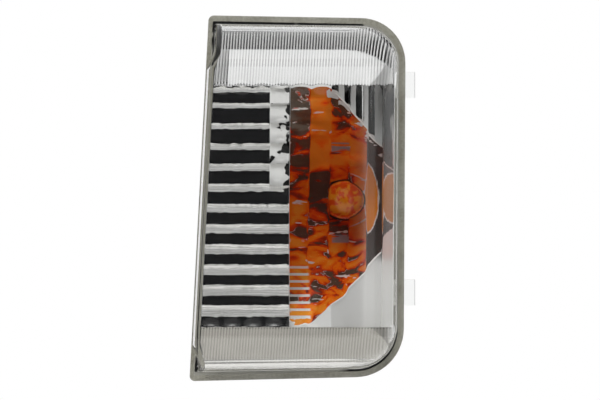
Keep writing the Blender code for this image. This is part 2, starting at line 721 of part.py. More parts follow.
def open_space(shift):
    """The three shapes of the space in front of the reflector, set back by shift."""
    reach = OVERALL_WIDTH / 2
    section = front_section(shift)
    front = prism("front", [(-reach, y, z) for y, z in section], [(reach, y, z) for y, z in section])
    side = [(x, side_field(x) + shift) for x in (-reach, reach)]
    side.append((reach, side[0][1]))
    slope = prism("side", [(x, y, -HALF_HEIGHT) for x, y in side], [(x, y, HALF_HEIGHT) for x, y in side])
    return front, slope, bowl_space(shift)


def make_reflector():
    reflector, slope, bowl = open_space(REFLECTOR_WALL)
    reflector.name = "reflector"
    join(reflector, slope)
    join(reflector, bowl)
    for space in open_space(0):
        cut(reflector, space)
    trim = crown_outline(REFLECTOR_INSET, LEFT_REFLECTOR_INSET)
    keep_inside(reflector, plate("reflector_trim", [trim], -LENS_RISE, HOUSING_DEPTH))
    room = [(0, -LENS_RISE), (0, HOUSING_FRONT), (HOUSING_DRAFT, FLOOR_FRONT)]
    rings = [(REFLECTOR_INSET + draft, LEFT_REFLECTOR_INSET + draft, y) for draft, y in room]
    keep_inside(reflector, loft("housing_room", rings))
    cut(reflector, cylinder("bulb_hole", BULB_AXIS, BULB_HOLE_RADIUS, 0, HOUSING_DEPTH, LARGE_ROUND))
    for i, (x, z) in enumerate(BOSS_PLACES):
        corners = [(x + BOSS_RADIUS, z + BOSS_RADIUS), (x + BOSS_RADIUS, z - BOSS_RADIUS)]
        start = max(surface_depth(*corner) for corner in corners) + FIT
        join(reflector, cylinder(f"screw_boss_{i}", (x, z), BOSS_RADIUS, start, FLOOR_FRONT - FIT))
        pilot = cylinder(
            f"screw_pilot_{i}", (x, z), SCREW_RADIUS + FIT, FLOOR_FRONT - PILOT_DEPTH, FLOOR_FRONT + FIT,
            SMALL_ROUND)
        cut(reflector, pilot)
    place(reflector, BRIGHT_METALLISING)


# Louvre bezel: one metallised moulding of slats that lies on the left of the reflector
def louvre_section():
    """(depth, z) points of the slats, with sloping faces that grow towards the foot and a short top slat."""
    back = FIELD_FRONT - FIT
    points = [(back, WINDOW_TOP + BEZEL_RIM), (SLAT_FRONT, WINDOW_TOP + BEZEL_RIM)]
    for i in range(SLATS):
        top = min(WINDOW_BOTTOM + (SLATS - i) * SLAT_PITCH, WINDOW_TOP)
        face = SLAT_PITCH * (TOP_FACE_SHARE + (BOTTOM_FACE_SHARE - TOP_FACE_SHARE) * i / (SLATS - 1))
        points += [(SLAT_FRONT, top), (SLAT_FRONT + SLAT_SLOPE * face, top), (SLAT_FRONT, top - face)]
    points += [(SLAT_FRONT, WINDOW_BOTTOM - BEZEL_RIM), (back, WINDOW_BOTTOM - BEZEL_RIM)]
    return points


def make_louvre_bezel():
    section = louvre_section()
    ends = [[(x, y, z) for y, z in section] for x in (-OVERALL_WIDTH / 2, BOWL_LEFT - FIT)]
    bezel = prism("louvre_bezel", *ends)
    trim = crown_outline(REFLECTOR_INSET, LEFT_INNER_FOOT + BEZEL_LEFT_GAP)
    keep_inside(bezel, plate("bezel_trim", [trim], -LENS_RISE, HOUSING_DEPTH))
    place(bezel, BRIGHT_METALLISING)


# Amber bulb: glass envelope pinched into a wedge, two lead wires, a glass bead and the filament
def arc_profile(radius, tip, steps):
    """(radius, depth) points of a dome whose tip is at the given depth."""
    angles = [math.pi / 2 * i / steps for i in range(steps + 1)]
    return [(radius * math.sin(a), tip + radius * (1 - math.cos(a))) for a in angles]


def make_bulb_envelope():
    outer = arc_profile(BULB_RADIUS, BULB_TIP, DOME_STEPS)
    outer += [(BULB_RADIUS, SHOULDER_START), (NECK_RADIUS, SHOULDER_END), (NECK_RADIUS, NECK_END)]
    inner = arc_profile(BULB_RADIUS - GLASS_WALL, BULB_TIP + GLASS_WALL, DOME_STEPS)
    inner += [(BULB_RADIUS - GLASS_WALL, SHOULDER_START), (NECK_RADIUS - GLASS_WALL, SHOULDER_END)]
    inner.append((NECK_RADIUS - GLASS_WALL, NECK_END))
    envelope = turned("bulb_envelope", BULB_AXIS, outer + inner[::-1])
    low = (BULB_AXIS[0] - WEDGE_WIDTH / 2, WEDGE_START, BULB_AXIS[1] - WEDGE_THICKNESS / 2)
    high = (BULB_AXIS[0] + WEDGE_WIDTH / 2, WEDGE_END, BULB_AXIS[1] + WEDGE_THICKNESS / 2)
    join(envelope, box("bulb_wedge", low, high))
    place(envelope, AMBER_GLASS)


def wire(name, points, radius, resolution, material):
    curve = bpy.data.curves.new(name, "CURVE")
    curve.dimensions = "3D"
    curve.bevel_depth = radius
    curve.bevel_resolution = resolution
    curve.use_fill_caps = True
    spline = curve.splines.new("POLY")
    spline.points.add(len(points) - 1)
    for spline_point, point in zip(spline.points, points):
        spline_point.co = (*point, 1)
    place(meshed(bpy.data.objects.new(name, curve)), material)


def make_bulb_inside():
    x, z = BULB_AXIS
    for name, side in (("bulb_lead_left", -1), ("bulb_lead_right", 1)):
        outer = x + side * LEAD_SPACING
        tip = FILAMENT_Y + 2 * LEAD_RADIUS
        points = [(outer, WEDGE_START - FIT, z), (outer, tip + LEAD_SPACING, z), (outer, tip, z)]
        wire(name, points, LEAD_RADIUS, 1, LEAD_WIRE)
    bead_reach = LEAD_SPACING - LEAD_RADIUS - FIT
    bead = [(x - bead_reach, SUPPORT_BEAD_Y, z), (x + bead_reach, SUPPORT_BEAD_Y, z)]
    wire("bulb_bead", bead, SUPPORT_BEAD_RADIUS, 2, CLEAR_GLASS)
    count = FILAMENT_TURNS * POINTS_PER_TURN
    coil = []
    for i in range(count + 1):
        angle = 2 * math.pi * i / POINTS_PER_TURN
        along = x + LEAD_SPACING * (2 * i / count - 1)
        coil.append((along, FILAMENT_Y - FIT + FILAMENT_RADIUS * math.cos(angle) - FILAMENT_RADIUS,
                     z + FILAMENT_RADIUS * math.sin(angle)))
    wire("bulb_filament", coil, FILAMENT_WIRE, 0, TUNGSTEN)


# Bulb holder: nose with bayonet lugs, flange, grips and a two-pin connector shroud in one moulding
def axis_box(name, width, height, front, back):
    """A box centred on the bulb axis."""
    low = (BULB_AXIS[0] - width / 2, front, BULB_AXIS[1] - height / 2)
    high = (BULB_AXIS[0] + width / 2, back, BULB_AXIS[1] + height / 2)
    return box(name, low, high)


def make_bulb_holder():
    profile = [
        (0, NOSE_START), (NOSE_RADIUS, NOSE_START), (NOSE_RADIUS, HOLDER_FLANGE_START),
        (HOLDER_FLANGE_RADIUS, HOLDER_FLANGE_START), (HOLDER_FLANGE_RADIUS, HOLDER_FLANGE_END),
        (0, HOLDER_FLANGE_END)]
    holder = turned("bulb_holder", BULB_AXIS, profile, LARGE_ROUND)
    for i in range(LUG_COUNT):
        angle = 2 * math.pi * i / LUG_COUNT
        lug = radial_block(
            f"lug_{i}", angle, NOSE_RADIUS / 2, LUG_RADIUS, LUG_WIDTH, LUG_END - LUG_THICKNESS, LUG_END)
        join(holder, lug)
    embed = HOLDER_FLANGE / 2
    join(holder, axis_box("shroud", SHROUD_WIDTH, SHROUD_HEIGHT, HOLDER_FLANGE_END - embed, SHROUD_END))
    join(holder, axis_box("grips", GRIP_WIDTH, GRIP_THICKNESS, HOLDER_FLANGE_END - embed, GRIP_END))
    cut(holder, cylinder("neck_bore", BULB_AXIS, NECK_RADIUS + 2 * FIT, NOSE_START - embed, NECK_END + FIT))
    contact_room = 2 * (contact_middle() + CONTACT_BOW + CONTACT_THICKNESS / 2 + FIT)
    cut(holder, axis_box("wedge_room", WEDGE_WIDTH + 2 * FIT, contact_room, NECK_END - embed, SOCKET_FLOOR))
    cut(holder, axis_box(
        "plug_room", SHROUD_WIDTH - 2 * SHROUD_WALL, SHROUD_HEIGHT - 2 * SHROUD_WALL, SHROUD_FLOOR,
        SHROUD_END + embed))
    for name, side in (("slot_upper", 1), ("slot_lower", -1)):
        middle = BULB_AXIS[1] + side * contact_middle()
        half_width = CONTACT_WIDTH / 2 + FIT
        half_height = CONTACT_THICKNESS / 2 + FIT
        low = (BULB_AXIS[0] - half_width, SOCKET_FLOOR - embed, middle - half_height)
        high = (BULB_AXIS[0] + half_width, SHROUD_FLOOR + embed, middle + half_height)
        cut(holder, box(name, low, high))
    place(holder, BLACK_PLASTIC)


def contact_middle():
    """Distance from the bulb axis to the middle of a contact strip."""
    return WEDGE_THICKNESS / 2 + FIT + CONTACT_BOW + CONTACT_THICKNESS / 2


def make_contacts():
    for name, side in (("contact_upper", 1), ("contact_lower", -1)):
        pinch = (WEDGE_START + WEDGE_END) / 2
        middle = contact_middle()
        line = [(CONTACT_START, middle + CONTACT_BOW), (pinch, middle - CONTACT_BOW),
                (SOCKET_FLOOR, middle), (CONTACT_END, middle)]
        half = CONTACT_THICKNESS / 2
        strip = [(y, z + half) for y, z in line] + [(y, z - half) for y, z in reversed(line)]
        sides = (BULB_AXIS[0] - CONTACT_WIDTH / 2, BULB_AXIS[0] + CONTACT_WIDTH / 2)
        ends = [[(x, y, BULB_AXIS[1] + side * z) for y, z in strip] for x in sides]
        place(prism(name, *ends), TINNED_BRASS)


def make_holder_seal():
    profile = [
        (SEAL_OUTER_RADIUS, SEAL_START), (SEAL_OUTER_RADIUS, SEAL_START + SEAL_THICKNESS),
        (SEAL_INNER_RADIUS, SEAL_START + SEAL_THICKNESS), (SEAL_INNER_RADIUS, SEAL_START)]
    place(turned("holder_seal", BULB_AXIS, profile, LARGE_ROUND), BLACK_RUBBER)


# Screws that hold the reflector from behind, and the rubber vent cap
def make_screws():
    head = HOUSING_DEPTH + FIT
    crown = head + SCREW_HEAD_HEIGHT
    point = head - SCREW_LENGTH
    profile = [
        (0, point), (SCREW_RADIUS / 3, point), (SCREW_RADIUS, point + SCREW_RADIUS), (SCREW_RADIUS, head),
        (SCREW_HEAD_RADIUS, head), (SCREW_HEAD_RADIUS, head + SCREW_HEAD_HEIGHT / 2),
        (SCREW_CROWN_RADIUS, crown), (0, crown)]
    for i, centre in enumerate(BOSS_PLACES):
        screw = turned(f"reflector_screw_{i + 1}", centre, profile, SMALL_ROUND)
        for j, (width, height) in enumerate(((RECESS_LENGTH, RECESS_WIDTH), (RECESS_WIDTH, RECESS_LENGTH))):
            low = (centre[0] - width / 2, crown - RECESS_DEPTH, centre[1] - height / 2)
            high = (centre[0] + width / 2, crown + RECESS_DEPTH, centre[1] + height / 2)
            cut(screw, box(f"cross_recess_{i}_{j}", low, high))
        place(screw, ZINC_STEEL)


def make_vent_cap():
    inner = VENT_RADIUS + FIT
    outer = inner + VENT_CAP_WALL
    start = HOUSING_DEPTH + FIT
    roof = VENT_END + FIT
    profile = [(0, start), (outer, start), (outer, roof + VENT_CAP_WALL / 2), (inner, roof + VENT_CAP_WALL),
               (0, roof + VENT_CAP_WALL)]
    cap = turned("vent_cap", VENT_PLACE, profile)
    cut(cap, cylinder("vent_cap_bore", VENT_PLACE, inner, start - FIT, roof))
    place(cap, BLACK_RUBBER)


make_outer_lens()
make_sealant_bead()
make_housing()
make_reflector()
make_louvre_bezel()
make_bulb_envelope()
make_bulb_inside()
make_bulb_holder()
make_contacts()
make_holder_seal()
make_screws()
make_vent_cap()
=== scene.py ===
import math

import bmesh
import bpy
import numpy as np
from mathutils import Matrix, Vector, noise


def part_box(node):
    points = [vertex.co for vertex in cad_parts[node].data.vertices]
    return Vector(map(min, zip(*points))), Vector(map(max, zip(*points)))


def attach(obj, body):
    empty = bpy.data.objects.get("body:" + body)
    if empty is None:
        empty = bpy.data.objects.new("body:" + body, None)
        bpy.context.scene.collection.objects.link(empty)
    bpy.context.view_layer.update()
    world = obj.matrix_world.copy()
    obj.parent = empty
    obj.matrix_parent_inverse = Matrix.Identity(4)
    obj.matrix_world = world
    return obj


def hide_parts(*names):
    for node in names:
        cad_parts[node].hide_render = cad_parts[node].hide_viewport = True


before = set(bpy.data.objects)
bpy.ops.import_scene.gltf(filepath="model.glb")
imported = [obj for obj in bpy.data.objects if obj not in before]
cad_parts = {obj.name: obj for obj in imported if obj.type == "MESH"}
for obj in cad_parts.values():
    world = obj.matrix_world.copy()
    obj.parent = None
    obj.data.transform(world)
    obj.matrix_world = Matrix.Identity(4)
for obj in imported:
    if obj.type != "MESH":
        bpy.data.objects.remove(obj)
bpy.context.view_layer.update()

# Studio: a pale floor well below the lamp, a white world with a dark zone behind the camera, and the
# camera. The dark zone is what the chrome shows where it faces the camera, as in a photographer's unlit
# room. A grey flag on the right keeps glare off the lens's bend. The camera looks straight at the lens
# along +Y, and the picture's longer side spans 246 mm.
FLOOR_Z = -0.36
VIEW_WIDTH = 0.246
VIEW_CENTRE = (-0.0009, -0.0007)
CAMERA_DISTANCE = 1.2
ROOM = {
    "sky": (0.90, 0.90, 0.90),
    "wall": (0.58, 0.575, 0.565),
    "side": (1.05, 1.05, 1.04),
    "ground": (0.52, 0.505, 0.470),
    "dark": (0.012, 0.012, 0.013),
    "flag": (0.13, 0.13, 0.13),
}
# Where the parts of the room begin and where they are full, along an axis of the view's direction.
EDGES = {
    "wall": (0.10, 0.55), "sky": (0.80, 0.92), "above ground": (-0.45, -0.08),
    "dark foot": (-0.38, -0.26), "dark top": (0.38, 0.26), "dark front": (-0.80, -0.90),
    "flag left": (0.35, 0.50), "flag front": (-0.62, -0.45), "behind": (0.2, 0.6)}


class Number:
    """A socket that carries a number, so that Math nodes can be written as plain arithmetic."""

    def __init__(self, socket):
        self.socket = socket

    def __add__(self, other):
        return maths("ADD", self, other)

    def __sub__(self, other):
        return maths("SUBTRACT", self, other)

    def __rsub__(self, other):
        return maths("SUBTRACT", other, self)

    def __mul__(self, other):
        return maths("MULTIPLY", self, other)

    def __truediv__(self, other):
        return maths("DIVIDE", self, other)


def put(value, socket):
    """Set a socket to a constant, or link it from another socket or a Number."""
    value = value.socket if isinstance(value, Number) else value
    if isinstance(value, bpy.types.NodeSocket):
        socket.id_data.links.new(value, socket)
    elif socket.type == "RGBA":
        socket.default_value = (*value, 1)
    else:
        socket.default_value = value


def add_node(tree, kind, **values):
    """A new node with its properties and its named inputs set or linked; underscores stand for spaces."""
    node = tree.nodes.new(kind)
    for name, value in values.items():
        socket = node.inputs.get(name.replace("_", " "))
        if socket is None:
            setattr(node, name, value)
        else:
            put(value, socket)
    return node


def maths(operation, *values, clamp=False):
    """A Math node on Numbers and constants, of which the first Number gives the tree."""
    tree = next(value.socket.id_data for value in values if isinstance(value, Number))
    node = add_node(tree, "ShaderNodeMath", operation=operation, use_clamp=clamp)
    for value, socket in zip(values, node.inputs):
        put(value, socket)
    return Number(node.outputs[0])


def ramp(value, low, high):
    """0 at low and 1 at high, with a soft step between them."""
    tree = value.socket.id_data
    node = add_node(tree, "ShaderNodeMapRange", interpolation_type="SMOOTHSTEP", Value=value, From_Min=low,
                    From_Max=high)
    return Number(node.outputs["Result"])


def mix_colour(share, first, second):
    """first where the share is 0 and second where it is 1."""
    node = add_node(share.socket.id_data, "ShaderNodeMix", data_type="RGBA")
    for value, place in ((share, 0), (first, 6), (second, 7)):
        put(value, node.inputs[place])
    return node.outputs[2]


def mix_shader(share, first, second):
    node = add_node(share.socket.id_data, "ShaderNodeMixShader")
    for value, socket in zip((share, first, second), node.inputs):
        put(value, socket)
    return node.outputs[0]


def axes_of(vector):
    split = add_node(vector.id_data, "ShaderNodeSeparateXYZ", Vector=vector)
    return [Number(socket) for socket in split.outputs]


def new_material(name, colour, roughness, metallic=0.0, **inputs):
    """A Principled material, its tree and its shader, with constants on the shader's own sockets."""
    material = bpy.data.materials.new(name)
    material.use_nodes = True
    shader = material.node_tree.nodes["Principled BSDF"]
    plain = {"Base_Color": colour, "Roughness": roughness, "Metallic": metallic}
    for label, value in {**plain, **inputs}.items():
        put(value, shader.inputs[label.replace("_", " ")])
    return material, material.node_tree, shader


scene = bpy.context.scene
scene.view_settings.view_transform = "Standard"
world = bpy.data.worlds.new("studio")
scene.world = world
world.use_nodes = True
tree = world.node_tree
tree.nodes.clear()
x, y, z = axes_of(add_node(tree, "ShaderNodeTexCoord").outputs["Generated"])
path = add_node(tree, "ShaderNodeLightPath")
diffuse, glossy, bent, straight = (
    Number(path.outputs[f"Is {kind} Ray"]) for kind in ("Diffuse", "Glossy", "Transmission", "Camera"))
colour = mix_colour(ramp(z, *EDGES["wall"]), ROOM["side"], ROOM["wall"])
colour = mix_colour(ramp(z, *EDGES["sky"]), colour, ROOM["sky"])
colour = mix_colour(ramp(z, *EDGES["above ground"]), ROOM["ground"], colour)
dark = ramp(z, *EDGES["dark foot"]) * ramp(z, *EDGES["dark top"]) * ramp(y, *EDGES["dark front"])
colour = mix_colour(dark * (1.0 - diffuse), colour, ROOM["dark"])
flag = ramp(x, *EDGES["flag left"]) * ramp(y, *EDGES["flag front"]) * glossy
colour = mix_colour(flag, colour, ROOM["flag"])
away = maths("MAXIMUM", bent, glossy * (1.0 - flag)) * ramp(y, *EDGES["behind"])
background = add_node(tree, "ShaderNodeBackground", Color=colour)
white = add_node(tree, "ShaderNodeBackground", Color=(1, 1, 1))
surface = mix_shader(maths("MAXIMUM", straight, away), background.outputs[0], white.outputs[0])
add_node(tree, "ShaderNodeOutputWorld", Surface=surface)

camera_data = bpy.data.cameras.new("camera")
camera_data.type = "ORTHO"
camera_data.ortho_scale = VIEW_WIDTH
camera = bpy.data.objects.new("camera", camera_data)
camera.location = (VIEW_CENTRE[0], -CAMERA_DISTANCE, VIEW_CENTRE[1])
camera.rotation_euler = (math.pi / 2, 0, 0)
scene.collection.objects.link(camera)
scene.camera = camera

bpy.ops.mesh.primitive_plane_add(size=2.4, location=(0, 0, FLOOR_Z))
floor = bpy.context.object
floor.name = "floor"
floor.data.materials.append(new_material("floor_paint", (0.80, 0.79, 0.77), 0.8)[0])

lamp_data = bpy.data.lights.new("softbox", "AREA")
lamp_data.shape = "RECTANGLE"
lamp_data.size = 1.2
lamp_data.size_y = 0.8
lamp_data.energy = 16
softbox = bpy.data.objects.new("softbox", lamp_data)
softbox.visible_glossy = False
softbox.visible_transmission = False
softbox.location = (-0.35, -0.7, 1.1)
softbox.rotation_euler = (Vector((0, 0, 0)) - softbox.location).to_track_quat("-Z", "Y").to_euler()
scene.collection.objects.link(softbox)

# Outer lens: one clear acrylic moulding with a flange, two clip tabs and wide flutes inside the window
# between its smooth sloping ends. The flange is bonded to the housing by the sealant bead behind it.
lens_low, lens_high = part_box("outer_lens")
JOINT_Y = lens_high.y
HALF_HEIGHT = 0.075
WIDTH = 0.0925
TAB_REACH = 0.0038
TAB_HALF_HEIGHT = 0.0054
TABS = {"upper_tab": 0.0464, "lower_tab": -0.0386}
LEFT_FOOT = lens_low.x + 0.5 * (lens_high.x - lens_low.x) - WIDTH / 2 - 0.00006
RIGHT_EDGE = lens_high.x - TAB_REACH
LEFT_SLANT = 0.0079
RIGHT_LEAN = 0.0009
TOP_FALL = 0.0014
BOTTOM_RISE = 0.0021
CORNERS = {"top_left": 0.0023, "top_right": 0.0184, "bottom_right": 0.0200, "bottom_left": 0.0021}
RIM = 0.0028
LEFT_RIM = 0.0003
LEFT_RIM_START = 0.0075
LEFT_RIM_BLEND = 0.0060
LENS_WALL = 0.0020
FLANGE = 0.0024
LENS_RISE = JOINT_Y - lens_low.y
WINDOW_TOP = 0.0452
WINDOW_BOTTOM = -0.0520
BEND_SHARE = 0.66
FLAT_FLUTES = 6
BEND_FLUTES = 5
FLUTES = FLAT_FLUTES + BEND_FLUTES
FLUTE_SAG = 0.00025
BEND_SAG_SHARE = 0.6
LEFT_LAND = 0.0010
EDGE_BREAK = 0.0002
TAB_INSET = 0.0001
TAB_ROUNDING = 0.0003
SMALLEST_RADIUS = 0.0006
ARC_STEPS = 16
RISE_STEP = 0.0004
RISE_GROWTH = 1.6
WINDOW_LIP = 0.00015
WINDOW_MARGIN = 0.004
WINDOW_ROWS = 24


def left_line(z):
    return LEFT_FOOT + LEFT_SLANT * (z + HALF_HEIGHT) / (2 * HALF_HEIGHT)


def right_line(z):
    return RIGHT_EDGE - RIGHT_LEAN * (HALF_HEIGHT - z) / (2 * HALF_HEIGHT)


def rounded_outline(inset, left_inset, steps=14):
    """(x, z) points of the lamp's outline moved in by inset, clockwise from the top left corner."""
    top = HALF_HEIGHT - TOP_FALL - inset
    bottom = -HALF_HEIGHT + BOTTOM_RISE + inset
    corners = [
        Vector((left_line(HALF_HEIGHT) + left_inset, HALF_HEIGHT - inset)),
        Vector((right_line(top) - inset, top)),
        Vector((right_line(bottom) - inset, bottom)),
        Vector((left_line(-HALF_HEIGHT) + left_inset, -HALF_HEIGHT + inset)),
    ]
    points = []
    for i, radius in enumerate(CORNERS.values()):
        radius = max(radius - inset, SMALLEST_RADIUS)
        before, corner, after = corners[i - 1], corners[i], corners[(i + 1) % 4]
        to_before, to_after = (before - corner).normalized(), (after - corner).normalized()
        half = to_before.angle(to_after) / 2
        centre = corner + (to_before + to_after).normalized() * radius / math.sin(half)
        start = (corner + to_before * radius / math.tan(half) - centre).normalized()
        end = (corner + to_after * radius / math.tan(half) - centre).normalized()
        points += [tuple(centre + start.slerp(end, k / steps) * radius) for k in range(steps + 1)]
    return points


def crown_right(z, inset):
    top = (1, CORNERS["top_right"], HALF_HEIGHT - TOP_FALL)
    bottom = (-1, CORNERS["bottom_right"], HALF_HEIGHT - BOTTOM_RISE)
    for sign, radius, edge in (top, bottom):
        past = sign * z - (edge - radius)
        if past > 0:
            return right_line(z) - radius + math.sqrt(max((radius - inset) ** 2 - past ** 2, 0))
    return right_line(z) - inset


def crown_left(z, inset, left_inset):
    past = max(z - WINDOW_TOP, WINDOW_BOTTOM - z) - LEFT_RIM_START
    return left_line(z) + left_inset + (inset - left_inset) * min(max(past / LEFT_RIM_BLEND, 0), 1)


def end_share(z, inset):
    """How far the crown has risen at a height, from 0 at its foot to 1 over the window."""
    top_foot = HALF_HEIGHT - TOP_FALL - inset
    bottom_foot = -HALF_HEIGHT + BOTTOM_RISE + inset
    top = min(max((top_foot - z) / (top_foot - WINDOW_TOP), 0), 1)
    bottom = min(max((z - bottom_foot) / (WINDOW_BOTTOM - bottom_foot), 0), 1)
    return min(math.sqrt(1 - (1 - t) ** 3) for t in (top, bottom))


def crown_rows(inset):
    """Heights of the grid rows: close together on the corner arcs and where the crown bends."""
    top_foot = HALF_HEIGHT - TOP_FALL - inset
    bottom_foot = -HALF_HEIGHT + BOTTOM_RISE + inset
    top_centre = HALF_HEIGHT - TOP_FALL - CORNERS["top_right"]
    bottom_centre = -HALF_HEIGHT + BOTTOM_RISE + CORNERS["bottom_right"]
    angles = [math.pi / 2 * i / ARC_STEPS for i in range(ARC_STEPS + 1)]
    rows = [bottom_centre - (CORNERS["bottom_right"] - inset) * math.sin(a) for a in angles]
    rows += [top_centre + (CORNERS["top_right"] - inset) * math.sin(a) for a in angles]
    rises = [RISE_STEP * k ** RISE_GROWTH for k in range(1, 12)]
    rows += [top_foot - rise for rise in rises] + [bottom_foot + rise for rise in rises[:9]]
    rows += [edge + past for edge in (WINDOW_TOP, WINDOW_BOTTOM) for past in (-WINDOW_LIP, WINDOW_LIP)]
    rows += list(np.linspace(WINDOW_BOTTOM + WINDOW_MARGIN, WINDOW_TOP - WINDOW_MARGIN, WINDOW_ROWS))
    rows = sorted(set(round(r, 7) for r in rows))
    return [r for i, r in enumerate(rows) if i == 0 or r - rows[i - 1] > 0.00005]


def crown_points(rows, columns, inset, left_inset, foot, rise, relief):
    """Grid of points of one face of the crown, row by row, with the foot all round it."""
    grid = np.zeros((len(rows), len(columns), 3))
    for i, z in enumerate(rows):
        start = crown_left(z, inset, left_inset)
        end = crown_right(z, inset)
        bend = start + (right_line(z) - inset - start) * BEND_SHARE
        share = end_share(z, inset)
        tilt = TOP_FALL if z > 0 else BOTTOM_RISE
        reach = (z - WINDOW_TOP) if z > WINDOW_TOP else (z - WINDOW_BOTTOM) if z < WINDOW_BOTTOM else 0
        room = (HALF_HEIGHT - WINDOW_TOP) if z > 0 else (WINDOW_BOTTOM + HALF_HEIGHT)
        for j, across in enumerate(columns):
            angle = min(max(across - FLAT_FLUTES, 0) / BEND_FLUTES, 1) * math.pi / 2
            if across < 0:
                x = start
            elif across <= FLAT_FLUTES:
                x = start + LEFT_LAND + (bend - start - LEFT_LAND) * across / FLAT_FLUTES
            else:
                x = bend + (end - bend) * math.sin(angle)
            on_foot = j in (0, len(columns) - 1) or i in (0, len(rows) - 1)
            depth = 0 if on_foot else relief(across, z)
            risen = 0 if on_foot else share * math.sqrt(1 - math.sin(angle) ** 3)
            y = -(foot + (rise - foot) * risen)
            lift = tilt * abs(reach) / room * (end - x) / WIDTH * (1 if z > 0 else -1)
            grid[i, j] = (x - depth * math.sin(angle), JOINT_Y + y + depth * math.cos(angle), z + lift)
    return grid


def flute_relief(across, z):
    """Depth of the flutes on the lens's inner face at a place across it and a height."""
    part = across % 1
    sag = FLUTE_SAG * (1 if across < FLAT_FLUTES else BEND_SAG_SHARE)
    return sag * 4 * part * (1 - part) if WINDOW_BOTTOM < z < WINDOW_TOP else 0


def grid_faces(rows, columns, start, flip=False):
    i, j = np.meshgrid(np.arange(rows - 1), np.arange(columns - 1), indexing="ij")
    corner = start + i * columns + j
    quads = np.stack([corner, corner + 1, corner + columns + 1, corner + columns], axis=-1).reshape(-1, 4)
    return [tuple(quad) for quad in (quads[:, ::-1] if flip else quads)]


def grid_edge(rows, columns, start):
    """Vertex numbers round a grid, clockwise seen from the front, from its top left corner."""
    top = [start + (rows - 1) * columns + j for j in range(columns)]
    right = [start + i * columns + columns - 1 for i in range(rows - 2, 0, -1)]
    bottom = [start + j for j in range(columns - 1, -1, -1)]
    left = [start + i * columns for i in range(1, rows - 1)]
    return top + right + bottom + left


def band_faces(first, second):
    """Four-sided faces between two loops of as many vertices."""
    return [(first[i - 1], first[i], second[i], second[i - 1]) for i in range(len(first))]


def ring_faces(points, outer, inner):
    """Triangles between two clockwise loops, matched by direction from the middle."""
    def in_order(loop):
        turn = [-math.atan2(points[v][2], points[v][0]) for v in loop]
        first = turn.index(min(turn))
        return loop[first:] + loop[:first + 1], sorted(turn) + [math.inf]

    outer, outer_turn = in_order(outer)
    inner, inner_turn = in_order(inner)
    faces, i, j = [], 0, 0
    while i < len(outer) - 1 or j < len(inner) - 1:
        take_outer = i < len(outer) - 1 and (j == len(inner) - 1 or outer_turn[i + 1] <= inner_turn[j + 1])
        if take_outer:
            faces.append((outer[i], outer[i + 1], inner[j]))
            i += 1
        else:
            faces.append((outer[i], inner[j + 1], inner[j]))
            j += 1
    return faces


def smoothed(piece, degrees):
    """Shade the piece smooth, apart from its edges above an angle."""
    piece.data.shade_smooth()
    piece.data.set_sharp_from_angle(angle=math.radians(degrees))


def new_piece(name, points, faces, material=None, smooth=None, weld=0.0):
    """A mesh object at the origin with its faces outwards."""
    mesh = bpy.data.meshes.new(name)
    mesh.from_pydata([tuple(p) for p in points], [], faces)
    bm = bmesh.new()
    bm.from_mesh(mesh)
    if weld:
        bmesh.ops.remove_doubles(bm, verts=bm.verts, dist=weld)
    bmesh.ops.recalc_face_normals(bm, faces=bm.faces)
    bm.to_mesh(mesh)
    bm.free()
    if material:
        mesh.materials.append(material)
    piece = bpy.data.objects.new(name, mesh)
    scene.collection.objects.link(piece)
    if smooth:
        smoothed(piece, smooth)
    return piece


def settled(piece):
    """The piece with its modifiers worked into a plain mesh."""
    bpy.context.view_layer.update()
    graph = bpy.context.evaluated_depsgraph_get()
    mesh = bpy.data.meshes.new_from_object(piece.evaluated_get(graph))
    piece.modifiers.clear()
    piece.data = mesh
    return piece


def combined(piece, steps):
    """piece after a chain of Booleans with other solids, which are removed."""
    for operation, other in steps:
        boolean = piece.modifiers.new(other.name, "BOOLEAN")
        boolean.operation = operation
        boolean.object = other
    settled(piece)
    for operation, other in steps:
        bpy.data.objects.remove(other)
    return piece


def add_bevel(piece, width, segments):
    bevel = piece.modifiers.new("edges", "BEVEL")
    bevel.width = width
    bevel.segments = segments
    return bevel


def new_group(kind, name, inputs, outputs):
    """A node group with named inputs and outputs of given kinds: its tree, its inputs and its outputs."""
    tree = bpy.data.node_groups.new(name, kind)
    for way, sockets in (("INPUT", inputs), ("OUTPUT", outputs)):
        for label, socket_kind in sockets.items():
            tree.interface.new_socket(label, in_out=way, socket_type="NodeSocket" + socket_kind)
    entry = tree.nodes.new("NodeGroupInput")
    given = {socket.name: Number(socket) for socket in entry.outputs if socket.name}
    return tree, given, tree.nodes.new("NodeGroupOutput").inputs


def placed(tree, group, **values):
    """The outputs of a finish's node group, placed in a tree with its own values."""
    node = add_node(tree, "ShaderNodeGroup", node_tree=group, **values)
    return {socket.name: Number(socket) for socket in node.outputs}


# Every finish has some unevenness, so the grain is one group: noise on Object coordinates, drawn out along
# an axis where its stretch is under 1.
grain_group, given, results = new_group(
    "ShaderNodeTree", "grain",
    {"Scale": "Float", "Detail": "Float", "Distortion": "Float", "Stretch": "Vector"}, {"Value": "Float"})
place = add_node(grain_group, "ShaderNodeTexCoord").outputs["Object"]
drawn_out = add_node(grain_group, "ShaderNodeMapping", Vector=place, Scale=given["Stretch"]).outputs[0]
pattern = add_node(grain_group, "ShaderNodeTexNoise", Vector=drawn_out, Scale=given["Scale"],
                   Detail=given["Detail"], Distortion=given["Distortion"])
put(pattern.outputs[0], results["Value"])


def grain(tree, scale, detail=2.0, stretch=(1, 1, 1), distortion=0.0):
    values = {"Scale": scale, "Detail": detail, "Stretch": stretch, "Distortion": distortion}
    return placed(tree, grain_group, **values)["Value"]


def add_bump(shader, height, strength, distance):
    bump = add_node(shader.id_data, "ShaderNodeBump", Strength=strength, Distance=distance, Height=height)
    put(bump.outputs[0], shader.inputs["Normal"])


